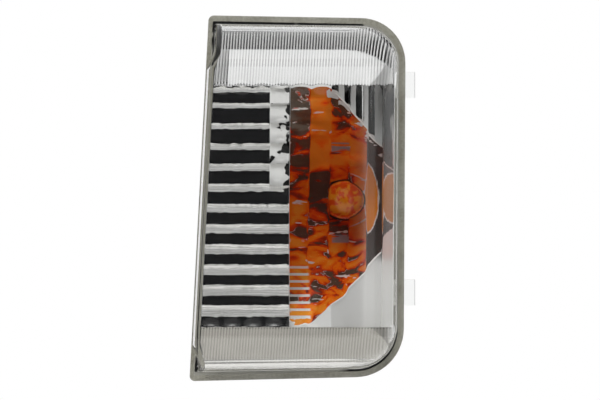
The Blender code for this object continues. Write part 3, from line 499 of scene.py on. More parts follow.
# Shadow rays pass the clear lens, slightly weakened, so that the parts behind it are lit evenly.
clear_lens, tree, shader = new_material(
    "clear_acrylic", (0.985, 0.99, 0.985), 0.02, Transmission_Weight=1.0, IOR=1.49)
add_bump(shader, grain(tree, 900, 3, (1, 1, 0.25)), 0.03, 0.0002)
passing = add_node(tree, "ShaderNodeBsdfTransparent", Color=(0.95, 0.95, 0.95)).outputs[0]
in_shadow = Number(add_node(tree, "ShaderNodeLightPath").outputs["Is Shadow Ray"])
put(mix_shader(in_shadow, shader.outputs[0], passing), tree.nodes["Material Output"].inputs["Surface"])

WELD = 0.000005
rows = crown_rows(RIM)
columns = [-1.0] + list(np.linspace(0, FLAT_FLUTES, 25)) + list(np.linspace(FLAT_FLUTES, FLUTES, 41)[1:])
outer = crown_points(rows, columns, RIM, LEFT_RIM, FLANGE, LENS_RISE, lambda across, z: 0)
inner_rows = crown_rows(RIM + LENS_WALL)
inner_columns = [-1.0] + list(np.linspace(0, FLUTES, FLUTES * 16 + 1))
inner = crown_points(
    inner_rows, inner_columns, RIM + LENS_WALL, LEFT_RIM + LENS_WALL, 0, LENS_RISE - LENS_WALL, flute_relief)
edge = rounded_outline(0, 0)
face_edge = [(x, JOINT_Y - FLANGE, z) for x, z in rounded_outline(EDGE_BREAK, EDGE_BREAK)]
front_edge = [(x, JOINT_Y - FLANGE + EDGE_BREAK, z) for x, z in edge]
back_edge = [(x, JOINT_Y, z) for x, z in edge]
points = np.concatenate([outer.reshape(-1, 3), inner.reshape(-1, 3), face_edge, front_edge, back_edge])
inner_start = len(rows) * len(columns)
ring_start = inner_start + len(inner_rows) * len(inner_columns)
count = len(edge)
face_ring, front_ring, back_ring = ([ring_start + k * count + i for i in range(count)] for k in range(3))
faces = grid_faces(len(rows), len(columns), 0)
faces += grid_faces(len(inner_rows), len(inner_columns), inner_start, flip=True)
faces += band_faces(face_ring, front_ring) + band_faces(front_ring, back_ring)
faces += ring_faces(points, face_ring, grid_edge(len(rows), len(columns), 0))
faces += ring_faces(points, back_ring, grid_edge(len(inner_rows), len(inner_columns), inner_start))
lens = new_piece("lens", points, faces, clear_lens, 50, WELD)
for name, middle in TABS.items():
    bpy.ops.mesh.primitive_cube_add(size=1)
    tab = bpy.context.object
    tab.name = name
    low = Vector((RIGHT_EDGE - RIM, JOINT_Y - FLANGE + TAB_INSET, middle - TAB_HALF_HEIGHT))
    high = Vector((RIGHT_EDGE + TAB_REACH, JOINT_Y - TAB_INSET, middle + TAB_HALF_HEIGHT))
    tab.data.transform(Matrix.LocRotScale((low + high) / 2, None, high - low))
    add_bevel(tab, TAB_ROUNDING, 3)
    combined(lens, [("UNION", tab)])
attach(lens, "lamp")
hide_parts("outer_lens")

# Sealant bead: olive-grey two-part sealant, laid as one ring between the lens flange and the housing flange.
# It shows through the clear flange as the lamp's grey rim, with small voids and streaks from the nozzle.
bead_low, bead_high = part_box("sealant_bead")
SEALANT_COLOURS = ((0.305, 0.292, 0.236), (0.475, 0.463, 0.398))
BEAD_INSETS = ((0.0004, 0.0004), (0.0029, 0.0022))


def flat_ring(outer, inner, front, back):
    """Points and faces of a flat ring between two outlines and two depths."""
    count = len(outer)
    corners = ((outer, front), (inner, front), (inner, back), (outer, back))
    points = [(x, y, z) for loop, y in corners for x, z in loop]
    loops = [[k * count + i for i in range(count)] for k in (0, 1, 2, 3, 0)]
    return points, [face for first, second in zip(loops, loops[1:]) for face in band_faces(first, second)]


sealant, tree, shader = new_material("olive_sealant", SEALANT_COLOURS[0], 0.55)
fine = grain(tree, 900, 3)
tone = grain(tree, 70, 4) * 0.6 + fine * 0.4
put(mix_colour(ramp(tone, 0.35, 0.65), *SEALANT_COLOURS), shader.inputs["Base Color"])
add_bump(shader, fine, 0.4, 0.0003)
ring = flat_ring(*[rounded_outline(*inset) for inset in BEAD_INSETS], bead_low.y, bead_high.y)
bead = new_piece("sealant_ring", *ring, sealant, 40, WELD)
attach(bead, "lamp")
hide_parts("sealant_bead")

# Shadow line: a thin ring along the bead's inner edge with painted shadow on it, black and ragged at the top
# and round the lower right corner, and pale grey elsewhere.
SHADOW_LINE_INSETS = ((0.0025, 0.0018), (0.0038, 0.0022))
SHADOW_LINE_PROUD = 0.00003


def object_axes(tree):
    return axes_of(add_node(tree, "ShaderNodeTexCoord").outputs["Object"])


shadow_line_paint, tree, shader = new_material("painted_shadow_line", (0.02, 0.02, 0.02), 0.35)
x, z = object_axes(tree)[::2]
# Painted shadow: black where this mask is on, ragged at the top and full round the lower right corner.
at_top = ramp(z, 0.060, 0.064)
at_foot = ramp(z, -0.052, -0.056) * ramp(x, 0.014, 0.020)
dark = maths("ADD", at_top * ramp(grain(tree, 75), 0.42, 0.47), at_foot, clamp=True)
put(mix_colour(dark, (0.42, 0.41, 0.37), (0.010, 0.010, 0.010)), shader.inputs["Base Color"])
edges = [rounded_outline(*inset) for inset in SHADOW_LINE_INSETS]
ring = flat_ring(*edges, bead_low.y - SHADOW_LINE_PROUD, bead_high.y)
line = new_piece("painted_shadow_ring", *ring, shadow_line_paint, 40, WELD)
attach(line, "lamp")
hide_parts("sealant_bead")

# Housing: injection-moulded rear shell in grey glass-filled plastic with a fine spark texture. It has the
# bulb port with its collar, two fixing bosses, a vent spigot, stiffening ribs and four holes for the
# screws.
FINE_WELD = 0.000002


def refined(node, name, material, width, segments=2):
    """A bevelled copy of a CAD node's mesh, welded first, with its moulded edges rounded."""
    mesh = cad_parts[node].data.copy()
    bm = bmesh.new()
    bm.from_mesh(mesh)
    bmesh.ops.remove_doubles(bm, verts=bm.verts, dist=FINE_WELD)
    bmesh.ops.dissolve_limit(bm, angle_limit=math.radians(1), verts=bm.verts, edges=bm.edges)
    bm.to_mesh(mesh)
    bm.free()
    mesh.materials.clear()
    mesh.materials.append(material)
    piece = bpy.data.objects.new(name, mesh)
    scene.collection.objects.link(piece)
    bevel = add_bevel(piece, width, segments)
    bevel.limit_method = "ANGLE"
    bevel.angle_limit = math.radians(35)
    bevel.use_clamp_overlap = True
    smoothed(settled(piece), 30)
    return piece


# Moulded finish: fine spark texture with faint flow marks and slightly uneven gloss.
moulded_group, given, results = new_group(
    "ShaderNodeTree", "moulded_finish",
    {"Dark": "Color", "Light": "Color", "Gloss": "Float", "Spark": "Float"},
    {"Colour": "Color", "Roughness": "Float", "Height": "Float"})
spark = grain(moulded_group, given["Spark"])
put(mix_colour(grain(moulded_group, 45, 3, (1, 1, 0.35)), given["Dark"], given["Light"]), results["Colour"])
put(given["Gloss"] - 0.08 + spark * 0.18, results["Roughness"])
put(spark, results["Height"])


def moulded_plastic(name, dark, light, roughness, spark, depth):
    material, tree, shader = new_material(name, dark, roughness)
    finish = placed(tree, moulded_group, Dark=dark, Light=light, Gloss=roughness, Spark=spark)
    put(finish["Colour"], shader.inputs["Base Color"])
    put(finish["Roughness"], shader.inputs["Roughness"])
    add_bump(shader, finish["Height"], 0.35, depth)
    return material


grey_housing = moulded_plastic(
    "grey_housing", (0.075, 0.076, 0.072), (0.110, 0.111, 0.105), 0.48, 2200, 0.0002)
housing = refined("housing", "rear_housing", grey_housing, 0.00035)
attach(housing, "lamp")
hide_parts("housing")

# Reflector: one moulding in heat-resistant plastic, vacuum metallised on its front. Plain faces slant up
# and down into both ends and away on the right, and a softly creased bowl surrounds the bulb.
FULL_TURN = 2 * math.pi
BULB_X = 0.5 * sum(c.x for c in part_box("bulb_envelope"))
BULB_Z = 0.5 * sum(c.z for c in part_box("bulb_envelope"))
FIELD_FRONT = -0.0140
TOP_RAMP = 0.66
BOTTOM_RAMP = 0.94
SIDE_AT_BULB = -0.0093
SIDE_SLOPE = 0.85
BOWL_FLOOR = 0.0200
FOCAL_LENGTH = 0.0140
BOWL_LEFT = BULB_X - 0.0225
REFLECTOR_WALL = 0.0020
REFLECTOR_BACK = 0.0272
ROOM_MOUTH = 0.0015
ROOM_DEPTH = 0.0250
ROOM_DRAFT = 0.0035
TRIM = (0.0051, 0.0037)
ENDS = (WINDOW_BOTTOM - 0.0008, WINDOW_TOP + 0.0008)
TOP_BAND = 0.0616
BAND_DROP = 0.020
BAND_CORNER = (0.0155, 0.025)
END_CORNER = (0.0152, 0.0224)
CORNER_FOOT = 0.0030
HIP_WIDTH = 0.0092
END_SKIRT = 0.0060
END_WALL = 0.0015
RIB_PITCH = 0.00118
RIBS_EACH_WAY = 34
POINTS_PER_RIB = 8
RIB_LEAN = -0.07
TALL_RIB = 0.00030
LOW_RIB = 0.00012
RAMP_RIB = 0.00008
RAMP_RIB_GROWTH = 0.00007
GROWTH_START = 0.008
GROWTH_LENGTH = 0.004
HOLE_RADIUS = 0.0085
BOWL_OVERSHOOT = 1.25
BOWL_MOUTH = 0.05
OUTSIDE = 0.06
OUTSIDE_RIGHT = 0.08
CREASES_PER_METRE = (90, 170)
SMALL_CREASES_PER_METRE = 330
CREASE_HEIGHT = 0.0009
SMALL_CREASE_HEIGHT = 0.0003
BOWL_EDGE = (
    (0.0213, 0.0000), (0.0205, 0.0082), (0.0164, 0.0205), (0.0107, 0.0274), (0.0029, 0.0369),
    (-0.0057, 0.0459), (-0.0400, 0.0459), (-0.0400, -0.0513), (-0.0147, -0.0513), (-0.0057, -0.0431),
    (-0.0008, -0.0398), (0.0025, -0.0357), (0.0107, -0.0271), (0.0148, -0.0214), (0.0168, -0.0164),
    (0.0197, -0.0091))


def prism(name, first, second, material=None):
    """A solid between two like outlines of (x, y, z) points."""
    count = len(first)
    faces = band_faces(list(range(count)), list(range(count, 2 * count)))
    faces += [tuple(range(count)), tuple(range(2 * count - 1, count - 1, -1))]
    return new_piece(name, list(first) + list(second), faces, material)


def box_solid(name, low, high):
    corners = [(low.x, low.z), (high.x, low.z), (high.x, high.z), (low.x, high.z)]
    return prism(name, [(x, low.y, z) for x, z in corners], [(x, high.y, z) for x, z in corners])


def side_field(x):
    return SIDE_AT_BULB + SIDE_SLOPE * (x - BULB_X)


def band_foot(x):
    """Height at which the top ramp turns into its upright band, which drops round the corner on the right."""
    past = min(max(x - BAND_CORNER[0], 0) / BAND_CORNER[1], 0.995)
    return TOP_BAND - BAND_DROP * (1 - math.sqrt(1 - past ** 2))


def in_hip(x, z):
    """Whether a place lies in the upright strip on the left of the top end."""
    return z > 0 and x < left_line(z) + HIP_WIDTH


def corner_depth(x):
    """Depth of the ends beside the lens's bend on the right, a little behind the lens."""
    past = min(max(x - END_CORNER[0], 0) / END_CORNER[1], 1)
    return CORNER_FOOT - (LENS_RISE - LENS_WALL) * math.sqrt(1 - past ** 2)


def plain_depth(x, z):
    """Depth of the plain faces behind the joint plane."""
    if z > ENDS[1]:
        level = band_foot(x) if z > band_foot(x) or in_hip(x, z) else z
        return max(FIELD_FRONT + TOP_RAMP * (level - ENDS[1]), corner_depth(x))
    if z < ENDS[0]:
        return max(FIELD_FRONT + BOTTOM_RAMP * (ENDS[0] - z), corner_depth(x))
    return max(FIELD_FRONT, side_field(x))


def rib_height(x, z):
    """Height of the half-round ribs on both ends of the reflector, taller on the band and the hip."""
    part = ((x + RIB_LEAN * z) / RIB_PITCH) % 1
    arc = 1 - abs(2 * part - 1) ** 3
    if z <= ENDS[1]:
        return arc * LOW_RIB
    foot = band_foot(x)
    if z > foot or in_hip(x, z):
        return arc * TALL_RIB
    grown = min(max((z - foot + GROWTH_START) / GROWTH_LENGTH, 0), 1)
    return arc * (RAMP_RIB + RAMP_RIB_GROWTH * grown)


def comb_share(x, z):
    """Share of the comb's shade at a place: all of it on the top end's band, and part of it on its hip."""
    return 1.0 if z > band_foot(x) else 0.4 if in_hip(x, z) else 0.0


def ribbed_end(name, start, tip, rows, material):
    """One end of the reflector: a ribbed slab trimmed to the crown, with a skirt down to the field."""
    heights = [start, start] + list(np.linspace(start + math.copysign(0.00002, tip), tip, rows))
    reach = RIBS_EACH_WAY * POINTS_PER_RIB
    columns = np.arange(-reach, reach + 1) * RIB_PITCH / POINTS_PER_RIB
    points = []
    for k, z in enumerate(heights):
        left, right = crown_left(z, *TRIM), crown_right(z, TRIM[0])
        for x in columns:
            x = min(max(x - RIB_LEAN * z, left), right)
            y = END_SKIRT if k == 0 else plain_depth(x, z) - rib_height(x, z)
            points.append((x, JOINT_Y + y, z))
    count, wide = len(points), len(columns)
    points += [(x, y + END_WALL, z) for x, y, z in points]
    faces = grid_faces(len(heights), wide, 0) + grid_faces(len(heights), wide, count, flip=True)
    edge = grid_edge(len(heights), wide, 0)
    faces += band_faces(edge, [v + count for v in edge])
    end = new_piece(name, points, faces, material, 30, WELD)
    comb = end.data.attributes.new("comb", "FLOAT", "POINT")
    comb.data.foreach_set("value", [comb_share(v.co.x, v.co.z) for v in end.data.vertices])
    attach(end, "lamp")
    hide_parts("reflector")


def edge_reach(angle):
    """Distance from the bulb's axis to the bowl's edge in a direction."""
    way = Vector((math.cos(angle), math.sin(angle)))
    reach = math.inf
    for i, first in enumerate(BOWL_EDGE):
        first, second = Vector(BOWL_EDGE[i - 1]), Vector(first)
        side = second - first
        turn = way.x * side.y - way.y * side.x
        if abs(turn) < 1e-12:
            continue
        along = (first.x * side.y - first.y * side.x) / turn
        share = (first.x * way.y - first.y * way.x) / turn
        if along > 0 and -0.0001 <= share <= 1.0001:
            reach = min(reach, along)
    return reach


def ripple(x, z):
    """Height of the soft creases in the bowl's wall, which break up the bulb's image."""
    long_creases = abs(noise.noise(Vector((x * CREASES_PER_METRE[0], 0.4, z * CREASES_PER_METRE[1]))))
    small_creases = abs(noise.noise(Vector((x, 0, z)) * SMALL_CREASES_PER_METRE + Vector((5, 0, 3))))
    return long_creases * CREASE_HEIGHT + small_creases * SMALL_CREASE_HEIGHT


def bowl_solid(shift, rings, sectors, creased):
    """The space in the bowl, from the bulb's axis to past its edge on the faces, cut flat on the left."""
    points = [(BULB_X, JOINT_Y + BOWL_FLOOR + shift, BULB_Z)]
    for i in range(1, rings + 1):
        for j in range(sectors):
            angle = FULL_TURN * j / sectors
            reach = edge_reach(angle)
            x, z = BULB_X + reach * math.cos(angle), BULB_Z + reach * math.sin(angle)
            edge = plain_depth(min(x, WIDTH / 2), z)
            share = BOWL_OVERSHOOT * i / rings
            to_edge = min(share, 1) ** 3
            dish = BOWL_FLOOR - (reach * share) ** 2 / (4 * FOCAL_LENGTH)
            y = (1 - to_edge) * dish + to_edge * (BOWL_FLOOR - (BOWL_FLOOR - edge) * share ** 2)
            x, z = BULB_X + (x - BULB_X) * share, BULB_Z + (z - BULB_Z) * share
            if creased and reach * share > HOLE_RADIUS:
                y -= ripple(x, z) * min(reach * share / HOLE_RADIUS - 0.9, 1)
            points.append((x, JOINT_Y + y + shift, z))
    loops = [[1 + i * sectors + j for j in range(sectors)] for i in range(rings + 1)]
    points += [(x, JOINT_Y - BOWL_MOUTH, z) for x, y, z in points[loops[-2][0]:]]
    faces = [(0, loops[0][j], loops[0][j - 1]) for j in range(sectors)]
    faces += [face for first, second in zip(loops, loops[1:]) for face in band_faces(first, second)]
    faces.append(tuple(loops[-1]))
    low = Vector((BOWL_LEFT - shift, JOINT_Y - OUTSIDE, ENDS[0]))
    high = Vector((OUTSIDE_RIGHT, JOINT_Y + OUTSIDE, ENDS[1]))
    space = new_piece("bowl_space", points, faces)
    return combined(space, [("INTERSECT", box_solid("bowl_side", low, high))])


def open_space(shift, rings, sectors, creased=False):
    """The spaces in front of the plain faces, of the slanting side and of the bowl."""
    low = Vector((-WIDTH / 2, JOINT_Y - LENS_RISE, ENDS[0]))
    front = box_solid("front_space", low, Vector((WIDTH / 2, JOINT_Y + FIELD_FRONT + shift, ENDS[1])))
    side = [(x, JOINT_Y + side_field(x) + shift) for x in (-WIDTH / 2, WIDTH / 2)]
    side.append((WIDTH / 2, side[0][1]))
    slope = prism("side_space", *[[(x, y, z) for x, y in side] for z in ENDS])
    return front, slope, bowl_solid(shift, rings, sectors, creased)


def crown_plate(name, inset, left_inset):
    """A deep plate whose outline is the crown's foot moved in by inset."""
    heights = [z for z in crown_rows(inset) if not WINDOW_BOTTOM + 0.002 < z < WINDOW_TOP - 0.002]
    edge = [(crown_left(z, inset, left_inset), z) for z in heights]
    edge += [(crown_right(z, inset), z) for z in reversed(heights)]
    edge = [p for i, p in enumerate(edge) if (Vector(p) - Vector(edge[i - 1])).length > 0.00002]
    return prism(name, *[[(x, JOINT_Y + y, z) for x, z in edge] for y in (-LENS_RISE, REFLECTOR_BACK)])


def drafted_room(name, inset, left_inset, draft):
    """The housing's tapering inside moved in by inset."""
    rings = []
    for extra, y in ((0, -LENS_RISE), (0, ROOM_MOUTH), (draft, ROOM_DEPTH)):
        rings.append([(x, JOINT_Y + y, z) for x, z in rounded_outline(inset + extra, left_inset + extra, 8)])
    count = len(rings[0])
    loops = [[k * count + i for i in range(count)] for k in range(3)]
    faces = [tuple(loops[0]), tuple(reversed(loops[2]))] + band_faces(*loops[:2]) + band_faces(*loops[1:])
    return new_piece(name, [p for ring in rings for p in ring], faces, weld=WELD)


def zone(value, low, high, blend=0.0015):
    """1 between two places along an axis and 0 outside them, with soft ends."""
    return ramp(value, low - blend, low + blend) * ramp(value, high + blend, high - blend)


def metallised(name, colour, roughness, metallic, peel, streaks=(1, 1, 1)):
    """Vacuum metallising under a lacquer with a faint orange peel, which may be drawn out along X."""
    material, tree, shader = new_material(name, colour, roughness, metallic)
    add_bump(shader, grain(tree, 260, 2, streaks), peel, 0.0004)
    return material, tree, shader


# Groove shade: painted shade as dark lines between the ribs. They fade in and out on the ramps, are full
# where the ribs are tall, and two rows of short painted dark marks follow the moulding's edges.
MARKS = [(f"Foot {i}", f"Top {i}", f"Shade {i}") for i in (1, 2)]
groove_group, given, results = new_group(
    "ShaderNodeTree", "groove_shade",
    {label: "Float" for label in ("Comb", "Groove", "Comb Groove") + MARKS[0] + MARKS[1]}, {"Shade": "Float"})
x, z = object_axes(groove_group)[::2]
wave = maths("COSINE", (x + z * RIB_LEAN) * (FULL_TURN / RIB_PITCH))
fine = ramp(wave, -0.6, 0.9) * (grain(groove_group, 120, 2, (1, 1, 0.5)) * (given["Groove"] * 2.0))
for foot, top, depth in MARKS:
    mark = ramp(wave, -0.2, 0.3) * zone(z, given[foot], given[top], 0.0003)
    fine = maths("MAXIMUM", fine, mark * given[depth])
tall = ramp(wave, -0.45, 0.0) * given["Comb Groove"]
put(maths("ADD", given["Comb"] * tall, (1.0 - given["Comb"]) * fine, clamp=True), results["Shade"])


def ribbed_chrome(name, colour, groove, comb_groove, marks):
    """Metallising on fine ribs, with painted shade in the grooves between them."""
    material, tree, shader = metallised(name, colour, 0.20, 0.40, 0.10)
    comb = add_node(tree, "ShaderNodeAttribute", attribute_name="comb").outputs["Fac"]
    sizes = {label: size for labels, mark in zip(MARKS, marks) for label, size in zip(labels, mark)}
    shade = placed(tree, groove_group, Comb=comb, Groove=groove, Comb_Groove=comb_groove, **sizes)["Shade"]
    put(mix_colour(shade, colour, (0.012, 0.012, 0.012)), shader.inputs["Base Color"])
    return material


# Amber oval: a painted reflection of the bulb in the metallising, with a painted pale rim round it.
oval_group, given, results = new_group(
    "ShaderNodeTree", "amber_oval", {"Base": "Color", "Rim": "Color", "Amber": "Color", "Aside": "Float",
                                     "Above": "Float", "Rim Size": "Float", "Fade": "Float"},
    {"Colour": "Color", "Size": "Float"})
size = given["Aside"] * given["Aside"] + given["Above"] * given["Above"]
rim = ramp(size, given["Rim Size"], given["Rim Size"] - given["Fade"])
colour = mix_colour(rim, given["Base"], given["Rim"])
colour = mix_colour(ramp(size, given["Fade"] + 1.0, 1.0), colour, given["Amber"])
put(colour, results["Colour"])
put(size, results["Size"])

face_colour = (0.98, 0.98, 0.975)
face_chrome, tree, shader = metallised("face_metallising", face_colour, 0.30, 0.15, 0.10)
tone = mix_colour(grain(tree, 60), tuple(c * 0.94 for c in face_colour), face_colour)
put(tone, shader.inputs["Base Color"])

# Bowl colour: painted reflections of the amber bulb, as orange, red and dark brown patches from the tone and
# its zones.
bowl_reflection_paint, tree, shader = metallised("bowl_painted_reflections", (0.93, 0.91, 0.89), 0.14, 1.0, 0.35, (0.4, 1, 1))
across, high = object_axes(tree)[::2]
BAR_PITCH = 0.0029
ARC = (0.0113, 0.0117)
ZONES = (
    ((-0.006, 0.0036), (0.010, 0.046), -0.14), ((0.0036, 0.0122), (0.013, 0.046), 0.14),
    ((0.0036, 0.0122), (-0.011, 0.010), -0.06), ((0.0122, 0.0204), (0.033, 0.041), -0.16),
    ((0.0122, 0.0204), (0.010, 0.033), 0.06), ((0.0204, 0.0262), (0.010, 0.027), 0.12),
    ((-0.006, 0.0036), (-0.053, -0.016), 0.07), ((0.0036, 0.0204), (-0.036, -0.030), -0.08))
tone = grain(tree, 150, 5, (0.9, 0.5, 1.2), 0.6)
for (left, right), (foot, top), change in ZONES:
    tone = tone + zone(across, left, right) * zone(high, foot, top) * change
hues = add_node(tree, "ShaderNodeValToRGB")
stops = ((0.0, (0.130, 0.108, 0.085)), (0.40, (0.110, 0.072, 0.050)), (0.425, (0.34, 0.030, 0.010)),
         (0.465, (0.82, 0.085, 0.008)), (0.51, (1.0, 0.20, 0.006)), (0.62, (1.0, 0.36, 0.03)))
for i, (stop, colour) in enumerate(stops):
    element = hues.color_ramp.elements[i] if i < 2 else hues.color_ramp.elements.new(stop)
    element.position = stop
    element.color = (*colour, 1)
put(tone, hues.inputs[0])
# Painted highlights: pale bars low on the left, glints, an arc on the bulb's right and pale edges between the
# painted patches.
bars = ramp(maths("SINE", high * (FULL_TURN / BAR_PITCH)), 0.35, 0.60) * zone(high, -0.053, -0.027)
bars = bars * zone(across, -0.006, 0.0036, 0.0004)
glints = ramp(grain(tree, 260, 2, (0.5, 0.5, 1.6)), 0.66, 0.69)
from_axis = (across - BULB_X, high - BULB_Z)
round_axis = maths("SQRT", from_axis[0] * from_axis[0] + from_axis[1] * from_axis[1])
arc = zone(round_axis, *ARC, 0.0002) * ramp(across, 0.020, 0.024)
edge_glints = ramp(maths("ABSOLUTE", tone - 0.412), 0.006, 0.003) * ramp(grain(tree, 110), 0.50, 0.54)
pale = maths("MAXIMUM", maths("MAXIMUM", bars, glints), maths("MAXIMUM", arc, edge_glints))
colour = mix_colour(pale, hues.outputs[0], (0.93, 0.92, 0.91))
# Painted reflections: blue-grey streaks in two patches, and a dark strip along the right edge.
lines = ramp(grain(tree, 900, 2, (0.1, 1, 1)), 0.42, 0.50)
for foot, top in ((0.0188, 0.0228), (-0.0182, -0.0150)):
    patch = zone(across, 0.0130, 0.0204, 0.0004) * zone(high, foot, top, 0.0004)
    colour = mix_colour(patch * lines, colour, (0.36, 0.39, 0.44))
colour = mix_colour(ramp(across, 0.0264, 0.0268), colour, (0.075, 0.068, 0.060))
# The bulb's painted reflection as an amber oval with a pale rim, where the metallic is lower.
oval = placed(tree, oval_group, Base=colour, Rim=(0.95, 0.90, 0.86), Amber=(0.90, 0.29, 0.012),
              Aside=(across - 0.0290) / 0.0032, Above=high / 0.0138, Rim_Size=1.16, Fade=0.04)
put(oval["Colour"], shader.inputs["Base Color"])
put(0.48 - ramp(oval["Size"], 1.20, 1.10) * 0.40, shader.inputs["Metallic"])

reflector, slope, bowl = open_space(REFLECTOR_WALL, 14, 48)
reflector.name = "reflector_shell"
front, side, hollow = open_space(0, 56, 176, True)
round_edge = [(BULB_X + HOLE_RADIUS * math.cos(a), BULB_Z + HOLE_RADIUS * math.sin(a))
              for a in np.linspace(0, FULL_TURN, 64, endpoint=False)]
hole = prism("bulb_hole", *[[(x, JOINT_Y + y, z) for x, z in round_edge] for y in (0, REFLECTOR_BACK)])
reflector = combined(reflector, [
    ("UNION", slope), ("UNION", bowl), ("DIFFERENCE", front), ("DIFFERENCE", side), ("DIFFERENCE", hollow),
    ("INTERSECT", crown_plate("crown_trim", *TRIM)),
    ("INTERSECT", drafted_room("room_trim", *TRIM, ROOM_DRAFT)), ("DIFFERENCE", hole)])
reflector.data.materials.clear()
reflector.data.materials.append(face_chrome)
reflector.data.materials.append(bowl_reflection_paint)
for polygon in reflector.data.polygons:
    x, y, z = polygon.center
    behind = (y - JOINT_Y) - plain_depth(x, z)
    in_bowl = behind > 0.00005 and x > BOWL_LEFT - 0.0002 and polygon.normal.y < 0.2
    polygon.material_index = 1 if in_bowl else 0
smoothed(reflector, 30)
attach(reflector, "lamp")
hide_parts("reflector")

# Both ends get painted groove shade and two rows of painted dark marks, given as foot, top and shade.
top_marks = ((0.0540, 0.0575, 0.35), (0.0456, 0.0464, 0.95))
top_chrome = ribbed_chrome("top_metallising", (0.93, 0.93, 0.935), 0.20, 0.98, top_marks)
ribbed_end("top_end", ENDS[1], 0.0680, 44, top_chrome)
# The bottom end is painted darker and more olive than the top end: painted shade.
bottom_marks = ((-0.0676, -0.0668, 0.45), (-0.0536, -0.0528, 0.60))
bottom_shade_paint = ribbed_chrome("bottom_painted_shade", (0.58, 0.56, 0.52), 0.30, 0.20, bottom_marks)
ribbed_end("bottom_end", ENDS[0], -0.0683, 24, bottom_shade_paint)

# Flank of the reflector: the narrow upright wall on the right, moulded with it. Its colour is painted
# reflection:
# the dark bowl with the bulb's image in it twice, with dark and pale streaks above, over a plain pale foot.
FLANK_LEFT = 0.0330
FLANK_WIDTH = 0.0034
IMAGE_HALF_HEIGHT = 0.0250
IMAGE_FALL = 0.0165
flank_reflection_paint, tree, shader = metallised("flank_painted_reflections", (0.90, 0.90, 0.90), 0.25, 0.35, 0.15)
across, high = object_axes(tree)[::2]
# Painted reflection: dark and pale streaks, then the bowl's dark image with a pale line round it and two
# amber ovals.
drawn = ramp(grain(tree, 1500, 2, (1, 0.3, 0.02)), 0.54, 0.60)
upper = mix_colour(drawn, (0.015, 0.015, 0.015), (0.80, 0.80, 0.80))
tone = mix_colour(ramp(high, 0.0060, 0.0070), (0.90, 0.90, 0.885), upper)
share = (across - FLANK_LEFT) / FLANK_WIDTH
edge = IMAGE_HALF_HEIGHT - share * IMAGE_FALL - maths("ABSOLUTE", high)
tone = mix_colour(ramp(edge, -0.0005, -0.0003), tone, (0.95, 0.95, 0.94))
tone = mix_colour(ramp(edge, 0.0, 0.0002), tone, (0.060, 0.057, 0.054))
for middle, wide, tall in ((0.27, 0.34, 0.0138), (0.80, 0.24, 0.0098)):
    tone = placed(tree, oval_group, Base=tone, Rim=(0.95, 0.88, 0.82), Amber=(0.66, 0.27, 0.045),
                  Aside=(share - middle) / wide, Above=high / tall, Rim_Size=1.20, Fade=0.05)["Colour"]
put(tone, shader.inputs["Base Color"])
section = ((0.0094, 0.0038), (0.0060, -0.0040), (0.0053, -0.0038), (0.0056, 0.0048), (0.0094, 0.0050))
ends = [[(right_line(z) - inset, JOINT_Y + y, z) for inset, y in section] for z in ENDS]
flank = prism("field_flank", *ends, flank_reflection_paint)
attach(flank, "lamp")
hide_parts("reflector")

# Louvre bezel: one metallised moulding of twelve slats, snapped on the left of the reflector. Each slat has a
# sloping face over a flat one, and the sloping faces grow towards the foot.
bezel_low, bezel_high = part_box("louvre_bezel")
SLATS = 12
POINTS_PER_SLAT = 3.0
LAST_SLAT_SHARE = 0.74
SLAT_PITCH = (WINDOW_TOP - WINDOW_BOTTOM) / (SLATS - 1 + LAST_SLAT_SHARE)
RIM_OVERLAP = 0.0006
LOUVRE = {"Slats": SLATS, "Pitch": SLAT_PITCH, "Top": WINDOW_TOP, "Foot": WINDOW_BOTTOM, "Front": bezel_low.y,
          "Back": bezel_high.y, "Slope": 0.5, "Top Face": 0.22, "Foot Face": 0.58, "Left": bezel_low.x,
          "Right": bezel_high.x, "Lean": LEFT_SLANT / (2 * HALF_HEIGHT), "Ragged": 0.0014}


def geometry_tree(name, sizes, points=False):
    """A geometry node group with a named input for each size and, where it is built on points, for those."""
    inputs = {"Points": "Geometry"} if points else {}
    inputs.update((label, "Int" if isinstance(size, int) else "Float") for label, size in sizes.items())
    return new_group("GeometryNodeTree", name, inputs, {"Geometry": "Geometry"})


def vector(tree, **axes):
    return add_node(tree, "ShaderNodeCombineXYZ", **axes).outputs[0]


def shape(tree, kind, **values):
    """The geometry that a node puts out."""
    return add_node(tree, "GeometryNode" + kind, **values).outputs[0]


def joined(tree, parts):
    join = add_node(tree, "GeometryNodeJoinGeometry")
    for part in parts:
        put(part, join.inputs[0])
    return join.outputs[0]


def swept(tree, path, profile):
    """A solid of one profile drawn along a path, with closed ends."""
    node = add_node(tree, "GeometryNodeCurveToMesh", Curve=path, Profile_Curve=profile, Fill_Caps=True)
    return node.outputs[0]


def closed(tree, geometry, material, results):
    """Realised instances with their material, as the tree's result."""
    solid = shape(tree, "RealizeInstances", Geometry=geometry)
    put(shape(tree, "SetMaterial", Geometry=solid, Material=material), results["Geometry"])


def geometry_piece(name, tree, sizes, points=(), edges=()):
    """The tree's result as a plain mesh object, with the modifier's inputs set by identifier first."""
    mesh = bpy.data.meshes.new(name)
    mesh.from_pydata(points, edges, [])
    piece = bpy.data.objects.new(name, mesh)
    modifier = piece.modifiers.new(tree.name, "NODES")
    modifier.node_group = tree
    for item in tree.interface.items_tree:
        if item.in_out == "INPUT" and item.name in sizes:
            modifier[item.identifier] = sizes[item.name]
    scene.collection.objects.link(piece)
    return settled(piece)


def choose(test, otherwise, chosen):
    """The second number where the test is 0 and the third where it is 1."""
    return test * (chosen - otherwise) + otherwise


slat_chrome, tree, shader = metallised("slat_metallising", (0.90, 0.90, 0.905), 0.07, 1.0, 0.12, (0.06, 1, 1))
drawn = ramp(grain(tree, 1700, 2, (0.03, 1, 1)), 0.35, 0.65)
put(mix_colour(drawn, (0.70, 0.70, 0.695), (0.90, 0.90, 0.90)), shader.inputs["Base Color"])

